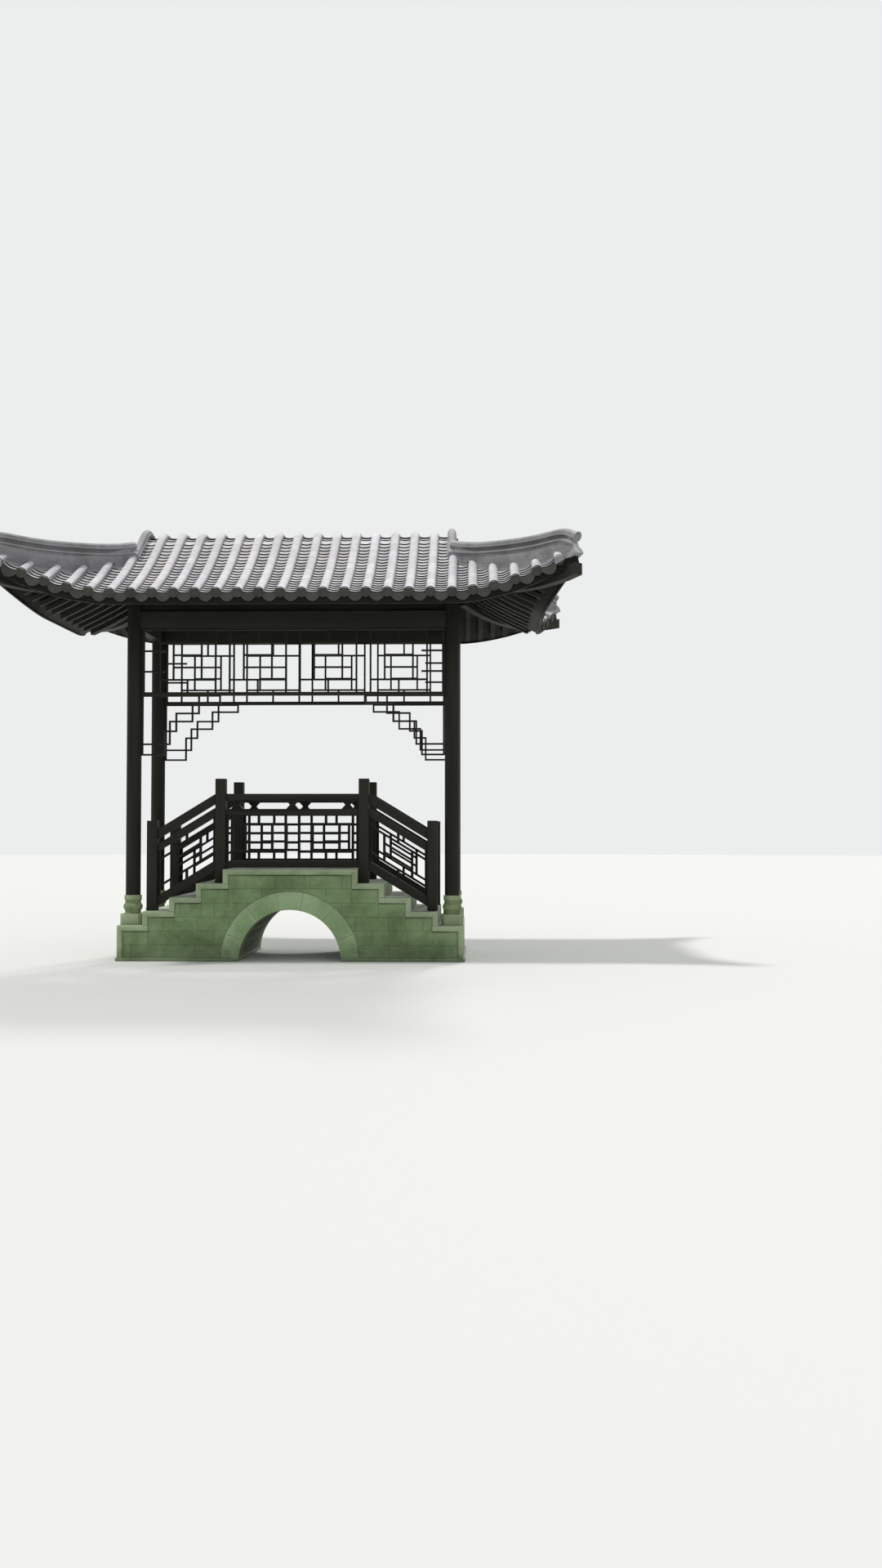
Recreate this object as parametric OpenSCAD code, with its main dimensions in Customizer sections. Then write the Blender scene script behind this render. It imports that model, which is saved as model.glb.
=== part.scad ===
// Covered moon bridge: a stepped stone arch with fretwork balustrades and a tiled
// hip-and-gable roof with a rolled ridge, carried by four round columns.
// X runs along the walkway, Z is up, and z = 0 is the water level at the bridge's centre.

/* [Stone bridge] */
// Width of the stone body between its two faces
body_w = 1740; // [1700:10:1900]
// Height of the deck above the water
deck_z = 1110; // [1090:10:1150]
// Half length of the level deck
deck_half = 815; // [800:5:860]
// Height of one step
rise = 170; // [150:5:180]
// Depth of one tread
tread_run = 325; // [310:5:360]
// Depth of the landing that carries the columns
landing_run = 310; // [300:5:360]
// Radius of the arch opening
arch_r = 620; // [560:10:640]
// Depth of the arch ring, from soffit to back
ring_t = 220; // [190:5:240]
// Depth of the ring stones behind the face
ring_depth = 300; // [220:10:400]
// Thickness of treads, risers and coping
slab_t = 65; // [55:1:75]
// Width of the coping along each side
coping_w = 180; // [160:5:200]
// How far coping and footing stand proud of the walls
proud = 20; // [10:1:30]
// Height of the footing course
footing_h = 40; // [30:1:60]
// Width of the joints between stones
joint_w = 0.6; // [0.5:0.1:0.9]

/* [Balustrades] */
// Distance of the balustrades and columns from the faces of the stone body
rail_inset = 220; // [180:5:230]
// Side of a newel post
newel_w = 126; // [116:1:130]
// Height of the newels beside the deck
tall_newel_h = 1275; // [1200:5:1350]
// Height of the newels at the foot of the stairs
short_newel_h = 1100; // [1060:5:1180]
// Height of the handrail's top above the deck
handrail_z = 920; // [880:5:960]
// Depth of the handrail
handrail_h = 85; // [70:1:95]
// Depth of the second rail
midrail_h = 75; // [60:1:80]
// Clear gap between handrail and second rail
rail_gap = 100; // [80:1:115]
// Depth of the bottom rail
footrail_h = 85; // [70:1:95]
// Gap under the bottom rail
foot_gap = 15; // [10:1:25]
// Thickness of rails through the panel
rail_t = 60; // [50:1:70]
// Width of the fret bars
fret_w = 32; // [24:1:34]
// Thickness of the fret bars through the panel
fret_t = 30; // [24:1:36]
// Drop of the stair rails for each unit of run
stair_slope = 0.61; // [0.55:0.01:0.63]
// Deepening of the rails where they run down the stairs
stair_rail_extra = 38; // [20:1:42]

/* [Columns and beams] */
// Distance of the columns from the ends of the landings
column_inset = 140; // [135:5:165]
// Diameter of a column
column_d = 180; // [160:1:185]
// Height of a column's stone pedestal
pedestal_h = 360; // [330:5:400]
// Side of a pedestal's square plinth
pedestal_w = 266; // [250:1:270]
// Drop of the eave beams' underside below the edge of the roof
beam_drop = 220; // [210:10:300]
// Depth of the eave beams
beam_h = 200; // [180:5:220]
// Thickness of the eave beams
beam_t = 100; // [90:1:120]
// Thickness of the boards between beam and purlin
head_board_t = 36; // [30:1:50]
// Diameter of the purlins over the columns
purlin_d = 140; // [130:1:150]
// Diameter of the two purlins under the rolled ridge
ridge_purlin_d = 100; // [90:1:110]
// How far the purlins run on past the columns
purlin_reach = 90; // [80:5:95]

/* [Hanging lattice] */
// Height of the hanging lattice
lattice_h = 830; // [800:10:860]
// Width of the lattice's thin bars
lattice_w = 22; // [16:1:26]
// Width of the lattice's outer frame
lattice_frame = 34; // [30:1:38]
// Thickness of the lattice
lattice_t = 30; // [24:1:40]
// Width of the narrow bay beside each column
end_bay = 200; // [180:5:230]

/* [Roof] */
// Height of the roof deck's edge at the middle of an eave
eave_z = 4300; // [4280:10:4400]
// Overhang of the eaves past the column line
overhang = 1100; // [1000:10:1150]
// Slope of the roof at the eaves
roof_pitch = 0.42; // [0.38:0.01:0.46]
// Steepening of the roof inwards, as a share of its pitch over its half width
roof_sag = 0.196; // [0.16:0.004:0.228]
// How far the sides of the upper roof lie outside the column line
gable_out_y = 30; // [10:5:40]
// How far the gables stand outside the columns
gable_out_x = 20; // [10:5:40]
// Half width of the rolled ridge
roll = 220; // [180:5:260]
// Rise of the roof's corners above the eaves
corner_rise = 390; // [350:10:460]
// How far the corners swing out
corner_thrust = 330; // [250:10:380]
// Thickness of boards and bedding
shell_t = 90; // [80:1:100]
// Depth of a rafter
rafter_h = 60; // [50:1:65]
// Width of a rafter
rafter_w = 60; // [50:1:64]
// Clearance between the outermost straight rafters and the purlins that run the same way
rafter_clear = 25; // [5:1:30]
// Thickness of the gable boards
gable_t = 45; // [30:1:45]
// Width of the corner beams
hip_beam_w = 120; // [100:1:120]
// Depth of the corner beams
hip_beam_h = 130; // [110:1:140]
// Width of the ridges on gables and hips
ridge_w = 120; // [100:1:130]
// Height of the gable ridges
gable_ridge_h = 150; // [120:1:170]
// Height of the hip ridges
hip_ridge_h = 270; // [220:5:290]
// Extra height of the hip ridges midway along
hip_ridge_swell = 110; // [80:5:130]
// Extra height of the hip ridges' curled ends
curl_h = 180; // [120:10:220]

/* [Hidden] */

// Clearance between a curved face and what seats against it
seat = 0.3;
// Small amount by which cutting shapes run past what they cut
past = 10;

stone = [0.60, 0.63, 0.56];
pale_stone = [0.72, 0.74, 0.66];
dark_wood = [0.16, 0.14, 0.12];
tile_grey = [0.52, 0.52, 0.55];

// Steps: level 0 is the deck, level 4 the landing
landing = 4;
half_length = deck_half + (landing - 1) * tread_run + landing_run;
column_x = half_length - column_inset;
rail_y = body_w / 2 - rail_inset;
gable_x = column_x + gable_out_x;
gable_y = rail_y + gable_out_y;
beam_z = eave_z - beam_drop;
function step_z(k) = deck_z - k * rise;
function step_x(k) = k < landing ? deck_half + k * tread_run : half_length;

inner_y = body_w / 2 + proud - coping_w;
ring_out = arch_r + ring_t;
ring_groove = 8;
springing = 10;
ring_joints = [23.3, 51, 78.6, 101.4, 129, 156.7];

// Clearance of the tall newels from the deck's edge, and of the short ones from the last riser
tall_clear = 2;
short_clear = 7;
tall_x = deck_half + newel_w / 2 + tall_clear;
short_x = step_x(landing - 1) - newel_w / 2 - short_clear;
post_levels = [[tall_x, step_z(1), tall_newel_h], [short_x, step_z(landing - 1), short_newel_h]];

// Side outline of the stone for one step: its tread and the riser below its edge
function riser_foot(k) = k < landing ? step_z(k + 1) + joint_w : footing_h;
function step_outline(k) = [
    [step_x(k - 1) - slab_t, step_z(k)], [step_x(k), step_z(k)], [step_x(k), riser_foot(k)],
    [step_x(k) - slab_t, riser_foot(k)], [step_x(k) - slab_t, step_z(k) - slab_t],
    [step_x(k - 1) - slab_t, step_z(k) - slab_t]
];

// Runs a side outline in X and Z from one Y to another
module along_y(y0, y1) translate([0, y1, 0]) rotate([90, 0, 0]) linear_extrude(y1 - y0) children();
// Runs an outline in Y and Z from one X to another
module along_x(x0, x1) translate([x0, 0, 0]) rotate([90, 0, 90]) linear_extrude(x1 - x0) children();
module left_right(side) mirror([side < 0 ? 1 : 0, 0, 0]) children();
module front_back(side) mirror([0, side > 0 ? 1 : 0, 0]) children();

// Stone bridge
module footing(side) color(stone) left_right(side)
    translate([arch_r, -body_w / 2 - proud, 0])
        cube([half_length + proud - arch_r, body_w + 2 * proud, footing_h]);

function abutment_top() = [for (k = [0 : landing]) each [
    [k == 0 ? 0 : step_x(k - 1) - slab_t, step_z(k) - slab_t],
    [step_x(k) - slab_t, step_z(k) - slab_t]
]];
module abutment(side) color(stone) left_right(side)
    along_y(-body_w / 2, body_w / 2) difference() {
        polygon(concat(abutment_top(), [[half_length - slab_t, footing_h], [0, footing_h]]));
        circle(r = ring_out, $fn = 180);
    }

// Outline of one ring stone between two joints, given the width of the joints
module ring_stone(a0, a1, gap) intersection() {
    difference() {
        circle(r = ring_out - seat, $fn = 180);
        circle(r = arch_r, $fn = 180);
    }
    rotate((a0 + a1) / 2) translate([gap / 2 / sin((a1 - a0) / 2), 0])
        polygon([[0, 0], for (s = [-1, 1]) 2 * ring_out * [cos((a1 - a0) / 2), s * sin((a1 - a0) / 2)]]);
    translate([-2 * ring_out, footing_h]) square([4 * ring_out, 2 * ring_out]);
}
// The barrel behind the rings, in courses that run from one ring to the other
barrel_courses = 13;
barrel_arc = (180 + 2 * springing) / barrel_courses;
module arch_barrel() color(stone) for (i = [0 : barrel_courses - 1])
    along_y(-body_w / 2 + ring_depth, body_w / 2 - ring_depth)
        ring_stone(i * barrel_arc - springing, (i + 1) * barrel_arc - springing, joint_w);
module arch_ring(side) color(pale_stone) front_back(side)
    for (i = [0 : len(ring_joints)]) {
        a0 = i == 0 ? -springing : ring_joints[i - 1];
        a1 = i == len(ring_joints) ? 180 + springing : ring_joints[i];
        face_y = -body_w / 2 - proud / 2;
        along_y(face_y, face_y + ring_groove / 2) ring_stone(a0, a1, ring_groove);
        along_y(face_y + ring_groove / 2, -body_w / 2 + ring_depth) ring_stone(a0, a1, joint_w);
    }

module coping(side) color(pale_stone) front_back(side) {
    deck_stone(-body_w / 2 - proud, -inner_y);
    for (s = [-1, 1], k = [1 : landing]) left_right(s)
        along_y(-body_w / 2 - proud, -inner_y) polygon(step_outline(k));
}
module deck_stone(y0, y1) along_y(y0, y1) polygon([
    [-deck_half, deck_z], [deck_half, deck_z], [deck_half, riser_foot(0)],
    [deck_half - slab_t, riser_foot(0)], [deck_half - slab_t, deck_z - slab_t],
    [slab_t - deck_half, deck_z - slab_t], [slab_t - deck_half, riser_foot(0)],
    [-deck_half, riser_foot(0)]
]);
module deck_slab() color(pale_stone) deck_stone(-inner_y, inner_y);
module treads(side) color(pale_stone) left_right(side)
    for (k = [1 : landing]) along_y(-inner_y, inner_y) polygon(step_outline(k));

// Balustrades
module newels(side) color(dark_wood)
    for (s = [-1, 1], p = post_levels)
        translate([s * p[0] - newel_w / 2, side * rail_y - newel_w / 2, p[1]])
            cube([newel_w, newel_w, p[2]]);

// One bar of a fret, from one corner to the other, leaning down along X by its slope
module bar(x0, z0, x1, z1, slope = 0) polygon([
    [x0, z0 - slope * x0], [x1, z0 - slope * x1], [x1, z1 - slope * x1], [x0, z1 - slope * x0]
]);
module upright(x, z0, z1, w, slope = 0) bar(x - w / 2, z0, x + w / 2, z1, slope);
module level(z, x0, x1, w, slope = 0) bar(x0, z - w / 2, x1, z + w / 2, slope);

// One unit of the stepped fret, four bays wide and five rows high
fret_rows = 5;
unit_bays = 4;
// How far the bars of a fret are let into its rails
tenon = 6;
module fret_unit(x, z, bay, row, w, slope = 0) {
    for (i = [0, unit_bays]) upright(x + i * bay, z - tenon, z + fret_rows * row + tenon, w, slope);
    for (j = [1, fret_rows - 1]) level(z + j * row, x, x + unit_bays * bay, w, slope);
    for (i = [1, unit_bays - 1]) upright(x + i * bay, z + row, z + (fret_rows - 1) * row, w, slope);
    for (j = [2, fret_rows - 2]) level(z + j * row, x + bay, x + (unit_bays - 1) * bay, w, slope);
    upright(x + 2 * bay, z - tenon, z + row, w, slope);
    upright(x + 2 * bay, z + (fret_rows - 1) * row, z + fret_rows * row + tenon, w, slope);
}

rail_top = deck_z + handrail_z;
midrail_top = rail_top - handrail_h - rail_gap;
fret_top = midrail_top - midrail_h;
footrail_z = deck_z + foot_gap;
fret_foot = footrail_z + footrail_h;
post_gap = 0.3;

deck_clear = tall_x - newel_w / 2 - post_gap;
deck_bay = (2 * deck_clear - 2 * fret_w) / (2 * unit_bays + 1.5);

// Small carved blocks with a waist that carry the handrail on the second rail
block_w = 150;
block_waist = 60;
block_x = deck_clear * 5 / 6;
module waisted_block(x) translate([x, midrail_top + rail_gap / 2]) for (s = [-1, 1]) polygon([
    [-block_waist / 2, 0], [block_waist / 2, 0],
    [block_w / 2, s * (rail_gap / 2 + seat)], [-block_w / 2, s * (rail_gap / 2 + seat)]
]);
module deck_balustrade(side) color(dark_wood) front_back(side) {
    along_y(-rail_y - rail_t / 2, -rail_y + rail_t / 2) {
        bar(-deck_clear, rail_top - handrail_h, deck_clear, rail_top);
        bar(-deck_clear, fret_top, deck_clear, midrail_top);
        bar(-deck_clear, footrail_z, deck_clear, fret_foot);
        for (x = [-block_x, 0, block_x]) waisted_block(x);
    }
    along_y(-rail_y - fret_t / 2, -rail_y + fret_t / 2) {
        row = (fret_top - fret_foot) / fret_rows;
        units_end = (unit_bays + 0.5) * deck_bay;
        for (s = [-1, 1])
            upright(s * (deck_clear - fret_w / 2), fret_foot - tenon, fret_top + tenon, fret_w);
        for (x = [-units_end, deck_bay / 2]) fret_unit(x, fret_foot, deck_bay, row, fret_w);
        for (stretch = [[-deck_clear, -units_end], [-deck_bay / 2, deck_bay / 2], [units_end, deck_clear]],
            j = [2, fret_rows - 2]) level(fret_foot + j * row, stretch[0], stretch[1], fret_w);
    }
}

stair_x0 = tall_x + newel_w / 2 + post_gap;
stair_clear = short_x - newel_w / 2 - post_gap - stair_x0;
// How far the stair panels start below the deck's: bottom rail and top of the fret
stair_foot_drop = 35;
stair_fret_drop = 15;
stair_foot_z = footrail_z - stair_foot_drop;
stair_fret_foot = stair_foot_z + footrail_h + stair_rail_extra;
stair_fret_top = fret_top - stair_fret_drop;
module stair_balustrade(side, end) color(dark_wood) front_back(side) left_right(end)
    translate([stair_x0, 0, 0]) {
        along_y(-rail_y - rail_t / 2, -rail_y + rail_t / 2) {
            bar(0, rail_top - handrail_h - stair_rail_extra, stair_clear, rail_top, stair_slope);
            bar(0, stair_fret_top, stair_clear, stair_fret_top + midrail_h + stair_rail_extra / 2,
                stair_slope);
            bar(0, stair_foot_z, stair_clear, stair_fret_foot, stair_slope);
        }
        along_y(-rail_y - fret_t / 2, -rail_y + fret_t / 2)
            fret_unit(fret_w / 2, stair_fret_foot, (stair_clear - fret_w) / unit_bays,
                (stair_fret_top - stair_fret_foot) / fret_rows, fret_w, stair_slope);
    }

// Columns on their pedestals
pedestal_z = step_z(landing);
column_foot = pedestal_z + pedestal_h;
plinth_h = pedestal_h * 0.37;
plinth_chamfer = 40;
cap_r = pedestal_w * 0.395;
bulge_r = pedestal_w * 0.435;
neck_r = pedestal_w * 0.36;
module pedestals(end) color(stone) for (s = [-1, 1]) translate([end * column_x, s * rail_y, pedestal_z]) {
    linear_extrude(plinth_h) intersection() {
        square(pedestal_w, center = true);
        rotate(45) square((pedestal_w - plinth_chamfer) * sqrt(2), center = true);
    }
    translate([0, 0, plinth_h]) rotate_extrude($fn = 48) drum_outline(pedestal_h - plinth_h);
}
// Side of the round drum: neck, bulge, neck and cap
module drum_outline(h) polygon(concat(
    [[0, 0], [neck_r, 0]],
    [for (a = [-90 : 15 : 90]) [neck_r + (bulge_r - neck_r) * cos(a), h * (0.38 + 0.17 * sin(a))]],
    [[neck_r, h * 0.74], [cap_r, h * 0.74], [cap_r, h], [0, h]]
));

eave_y = rail_y + overhang;
function deck_rise(t) = roof_pitch * t + roof_sag * t * t / eave_y;
eave_x = gable_x + eave_y - gable_y;
wing = eave_y - gable_y + corner_thrust;

// Roof surface. d is the distance along an eave past the point where its corner starts to
// rise, and y the distance from the ridge line, measured square to the eave.
function swell(d) = d <= 0 ? 0 : pow(d / wing, 1.8);
function roof_z(d, y) = eave_z + deck_rise(eave_y + corner_thrust * swell(d) - y) + corner_rise * swell(d);
function hip_z(d) = roof_z(d, gable_y + d);
roll_top = eave_z + deck_rise(eave_y - roll)
    + roll / 2 * (roof_pitch + 2 * roof_sag * (eave_y - roll) / eave_y);
function crown_z(y) = abs(y) >= roll ? roof_z(0, abs(y))
    : roll_top - (roll_top - roof_z(0, roll)) * pow(y / roll, 2);

long_purlin_z = eave_z + deck_rise(eave_y - rail_y) - shell_t - rafter_h - purlin_d / 2;
end_purlin_z = eave_z + deck_rise(eave_x - column_x) - shell_t - rafter_h - purlin_d / 2;
column_top = min(long_purlin_z, end_purlin_z) - purlin_d / 2;

module column(side, end) color(dark_wood)
    translate([end * column_x, side * rail_y, column_foot])
        cylinder(d = column_d, h = column_top - column_foot, $fn = 64);

// Eave beam with the thin board above it, between two columns
module beam_outline(top) {
    translate([-beam_t / 2, beam_z]) square([beam_t, beam_h]);
    translate([-head_board_t / 2, beam_z]) square([head_board_t, top - beam_z]);
}
module column_cut() for (x = [-1, 1], y = [-1, 1])
    translate([x * column_x, y * rail_y, column_foot])
        cylinder(d = column_d + 2 * seat, h = eave_z, $fn = 64);
module long_eave_beam(side) color(dark_wood) difference() {
    translate([0, side * rail_y, 0]) along_x(-column_x, column_x)
        beam_outline(long_purlin_z - purlin_d / 2 - seat);
    column_cut();
}
module end_eave_beam(end) color(dark_wood) difference() {
    translate([end * column_x, 0, 0]) along_y(-rail_y, rail_y)
        beam_outline(end_purlin_z - purlin_d / 2 - seat);
    column_cut();
}

// Hanging lattice between the columns
lattice_half = column_x - column_d / 2 - 2 * seat;
lattice_bay = (2 * lattice_half - 2 * end_bay - lattice_frame) / (4 * unit_bays + 3);
lattice_z = beam_z - lattice_h;
module lattice(side) color(dark_wood)
    translate([0, side * rail_y, 0]) along_y(-lattice_t / 2, lattice_t / 2) {
        row = (lattice_h - 2 * lattice_frame) / fret_rows;
        foot = lattice_z + lattice_frame;
        for (s = [-1, 1])
            upright(s * (lattice_half - lattice_frame / 2), lattice_z, beam_z, lattice_frame);
        bar(-lattice_half, lattice_z, lattice_half, foot);
        bar(-lattice_half, beam_z - lattice_frame, lattice_half, beam_z);
        for (u = [0 : 3])
            fret_unit((u * (unit_bays + 1) - 2 * unit_bays - 1.5) * lattice_bay, foot,
                lattice_bay, row, lattice_w);
        for (s = [-1, 1], j = [1, 2])
            level(foot + j * row * fret_rows / 3, s > 0 ? lattice_half - end_bay - lattice_bay / 2 : -lattice_half,
                s > 0 ? lattice_half : -lattice_half + end_bay + lattice_bay / 2, lattice_w);
    }

// Stepped bracket below the lattice: reach from the column and drop of each corner
bracket_steps = [[290, 750], [360, 620], [440, 460], [640, 340], [720, 240], [980, 115]];
bracket_last = len(bracket_steps) - 1;
function reach(i) = i < 0 ? 0 : bracket_steps[i][0];
function drop(i) = i > bracket_last ? 0 : bracket_steps[i][1];
module bracket(side, end) color(dark_wood)
    left_right(-end) translate([-lattice_half, side * rail_y, lattice_z])
        along_y(-lattice_t / 2, lattice_t / 2) {
            for (i = [0 : bracket_last]) {
                bar(reach(i) - lattice_w, -drop(i), reach(i), min(0, lattice_w - drop(i + 2)));
                bar(max(0, reach(i - 2) - lattice_w), -drop(i), reach(i), -drop(i) + lattice_w);
            }
            bar(0, -drop(0), lattice_w, 0);
            bar(0, -lattice_w, reach(bracket_last), 0);
        }

// Purlins, and the trusses that carry the rolled ridge
module long_purlins() color(dark_wood) for (s = [-1, 1])
    translate([-column_x - purlin_reach, s * rail_y, long_purlin_z]) rotate([0, 90, 0])
        cylinder(d = purlin_d, h = 2 * (column_x + purlin_reach), $fn = 48);
module long_purlin_cut(clear) for (s = [-1, 1])
    translate([-eave_x, s * rail_y, long_purlin_z]) rotate([0, 90, 0])
        cylinder(d = purlin_d + 2 * clear, h = 2 * eave_x, $fn = 48);
module end_purlin_rods(clear) for (s = [-1, 1])
    translate([s * column_x, rail_y + purlin_reach, end_purlin_z]) rotate([90, 0, 0])
        cylinder(d = purlin_d + 2 * clear, h = 2 * (rail_y + purlin_reach), $fn = 48);
module end_purlins() color(dark_wood) difference() {
    end_purlin_rods(0);
    long_purlin_cut(seat);
}

ridge_purlin_y = roll * 0.9;
// Lowers the ridge purlins clear of the curved rafters on both sides of their top
ridge_purlin_ease = 15;
ridge_purlin_z = crown_z(ridge_purlin_y) - shell_t - rafter_h - ridge_purlin_d / 2 - ridge_purlin_ease;
purlin_end = gable_x - gable_t;
module ridge_purlins() color(dark_wood) for (s = [-1, 1])
    translate([-purlin_end, s * ridge_purlin_y, ridge_purlin_z]) rotate([0, 90, 0])
        cylinder(d = ridge_purlin_d, h = 2 * purlin_end, $fn = 48);

// The trusses stand midway between two rafters
rafter_bays = 7;
rafter_pitch = (column_x - purlin_d / 2 - rafter_w / 2 - rafter_clear) / rafter_bays;
truss_x = rafter_pitch * (rafter_bays - 0.5);
truss_t = 110;
truss_h = 140;
truss_drop = 10;
truss_z = long_purlin_z - truss_drop;
post_w = 90;
module truss(end) color(dark_wood) difference() {
    translate([end * truss_x, 0, 0]) {
        translate([-truss_t / 2, -rail_y, truss_z]) cube([truss_t, 2 * rail_y, truss_h]);
        for (s = [-1, 1])
            translate([-post_w / 2, s * ridge_purlin_y - post_w / 2, truss_z])
                cube([post_w, post_w, ridge_purlin_z - truss_z]);
    }
    long_purlin_cut(seat);
    for (s = [-1, 1])
        translate([-eave_x, s * ridge_purlin_y, ridge_purlin_z]) rotate([0, 90, 0])
            cylinder(d = ridge_purlin_d + 2 * seat, h = 2 * eave_x, $fn = 48);
}

slope_rows = 6;
wing_steps = 8;
wing_end = 0.97;
function wing_d(i) = wing * wing_end * i / wing_steps;
// Distance from the ridge line at row j, from the eave (0) to the slope's inner edge
function row_y(d, j) = let (outer = eave_y + corner_thrust * swell(d), inner = gable_y + max(d, 0))
    outer + (inner - outer) * j / slope_rows;

// Points of one slope: for each station along the eave, its rows on the top and underneath
function station_points(along, d, shift, under) = [for (j = [0 : slope_rows])
    [along, -row_y(d, j) - shift, roof_z(d, row_y(d, j)) - under]];
function slope_stations(half) = concat(
    [for (i = [wing_steps : -1 : 0]) [-half - wing_d(i), wing_d(i)]],
    [for (i = [0 : wing_steps]) [half + wing_d(i), wing_d(i)]]
);
module slope(half, shift) {
    stations = slope_stations(half);
    n = len(stations);
    row_n = slope_rows + 1;
    points = concat(
        [for (s = stations) each station_points(s[0], s[1], shift, 0)],
        [for (s = stations) each station_points(s[0], s[1], shift, shell_t)]
    );
    base = n * row_n;
    function quad(a, b, c, d) = [[a, b, c], [a, c, d]];
    faces = concat(
        [for (i = [0 : n - 2], j = [0 : slope_rows - 1]) let (a = i * row_n + j)
            each quad(a, a + 1, a + row_n + 1, a + row_n)],
        [for (i = [0 : n - 2], j = [0 : slope_rows - 1]) let (a = base + i * row_n + j)
            each quad(a, a + row_n, a + row_n + 1, a + 1)],
        [for (i = [0 : n - 2]) let (a = i * row_n) each quad(a, a + row_n, base + a + row_n, base + a)],
        [for (i = [0 : n - 2]) let (a = i * row_n + slope_rows)
            each quad(a + row_n, a, base + a, base + a + row_n)],
        [for (j = [0 : slope_rows - 1]) each quad(j + 1, j, base + j, base + j + 1)],
        [for (j = [0 : slope_rows - 1]) let (a = (n - 1) * row_n + j)
            each quad(a, a + 1, base + a + 1, base + a)]
    );
    polyhedron(points, faces, convexity = 4);
}
module long_roof(side) color(tile_grey) rotate([0, 0, side > 0 ? 180 : 0]) slope(gable_x, 0);
module end_roof(end) color(tile_grey) rotate([0, 0, end > 0 ? 90 : -90])
    slope(gable_y, gable_x - gable_y);

// Upper roof between the gables, with its ridge rolled over
crown_steps = 24;
function crown_line(under) = [for (i = [0 : crown_steps])
    let (y = gable_y * (2 * i / crown_steps - 1)) [y, crown_z(y) - under]];
function reversed(list) = [for (i = [len(list) - 1 : -1 : 0]) list[i]];
module roof_crown() color(tile_grey) along_x(-gable_x, gable_x)
    polygon(concat(crown_line(0), reversed(crown_line(shell_t))));
module gable(end) color(dark_wood) left_right(end) along_x(gable_x - gable_t, gable_x)
    polygon(crown_line(shell_t));
module gable_ridge(end) color(tile_grey) left_right(end)
    along_x(gable_x + past - ridge_w, gable_x + past)
        polygon(concat(crown_line(-gable_ridge_h), reversed(crown_line(0))));

// Rafters follow the underside of the roof
rafter_inset = 130;
function slope_line(d, under) = [for (j = [0 : slope_rows])
    let (y = row_y(d, j) - (j == 0 ? rafter_inset : 0)) [-y, roof_z(d, y) - under]];
function whole_line(under) = concat(
    slope_line(0, under), [for (i = [1 : crown_steps - 1]) crown_line(under)[i]],
    reversed([for (p = slope_line(0, under)) [-p[0], p[1]]])
);
module main_rafters() color(dark_wood)
    for (i = [-rafter_bays : rafter_bays]) along_x(i * rafter_pitch - rafter_w / 2, i * rafter_pitch + rafter_w / 2)
        polygon(concat(whole_line(shell_t), reversed(whole_line(shell_t + rafter_h))));

// A jack rafter of a corner, seated by its lower edge under the rising roof. Its inner end
// meets the side of the corner beam.
jack_drop = 2;
jack_count = wing_steps - 3;
jack_steps = 4;
function jack_line(d, under) = let (
    outer = row_y(d, 0) - rafter_inset,
    inner = gable_y + d + rafter_w / 2 + hip_beam_w / sqrt(2) + seat,
    low = d - rafter_w / 2
) [for (j = [0 : jack_steps])
    let (y = outer + (inner - outer) * j / jack_steps) [-y, roof_z(low, y) - under]];
module jack_rafter(half, d, shift)
    translate([0, -shift, 0]) along_x(half + d - rafter_w / 2, half + d + rafter_w / 2)
        polygon(concat(jack_line(d, shell_t + jack_drop),
            reversed(jack_line(d, shell_t + jack_drop + rafter_h))));
// Spacing of the straight rafters at the ends, which stay inside the long purlins
end_bays = 2;
end_pitch = (rail_y - purlin_d / 2 - rafter_w / 2 - rafter_clear) / end_bays;
module end_rafters(end) color(dark_wood) left_right(end) {
    for (s = [-1, 1], i = [1 : jack_count]) front_back(s) jack_rafter(gable_x, wing_d(i), 0);
    rotate([0, 0, 90]) translate([0, gable_y - gable_x, 0]) {
        for (s = [-1, 1], i = [1 : jack_count]) left_right(s) jack_rafter(gable_y, wing_d(i), 0);
        for (i = [-end_bays : end_bays]) along_x(i * end_pitch - rafter_w / 2, i * end_pitch + rafter_w / 2)
            polygon(concat(slope_line(0, shell_t), reversed(slope_line(0, shell_t + rafter_h))));
    }
}

// Corner beams run from the crossing purlins out under the hips
hip_backing = 28;
hip_nose = 25;
hip_steps = 10;
hip_tail = purlin_d / 2 + hip_beam_w / 2 / sqrt(2) + seat - min(gable_out_x, gable_out_y);
function hip_line(under) = [for (i = [0 : hip_steps])
    let (d = hip_tail + (wing + hip_nose - hip_tail) * i / hip_steps)
    [d * sqrt(2), hip_z(min(d, wing)) + 0.6 * max(d - wing, 0) - under]];
module on_hip(side, end) front_back(side) left_right(end)
    translate([gable_x, -gable_y, 0]) rotate([0, 0, -45]) children();
module corner_beams() color(dark_wood) for (s = [-1, 1], e = [-1, 1]) on_hip(s, e)
    along_y(-hip_beam_w / 2, hip_beam_w / 2) polygon(concat(
        hip_line(shell_t + hip_backing), reversed(hip_line(shell_t + hip_backing + hip_beam_h))));

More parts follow.
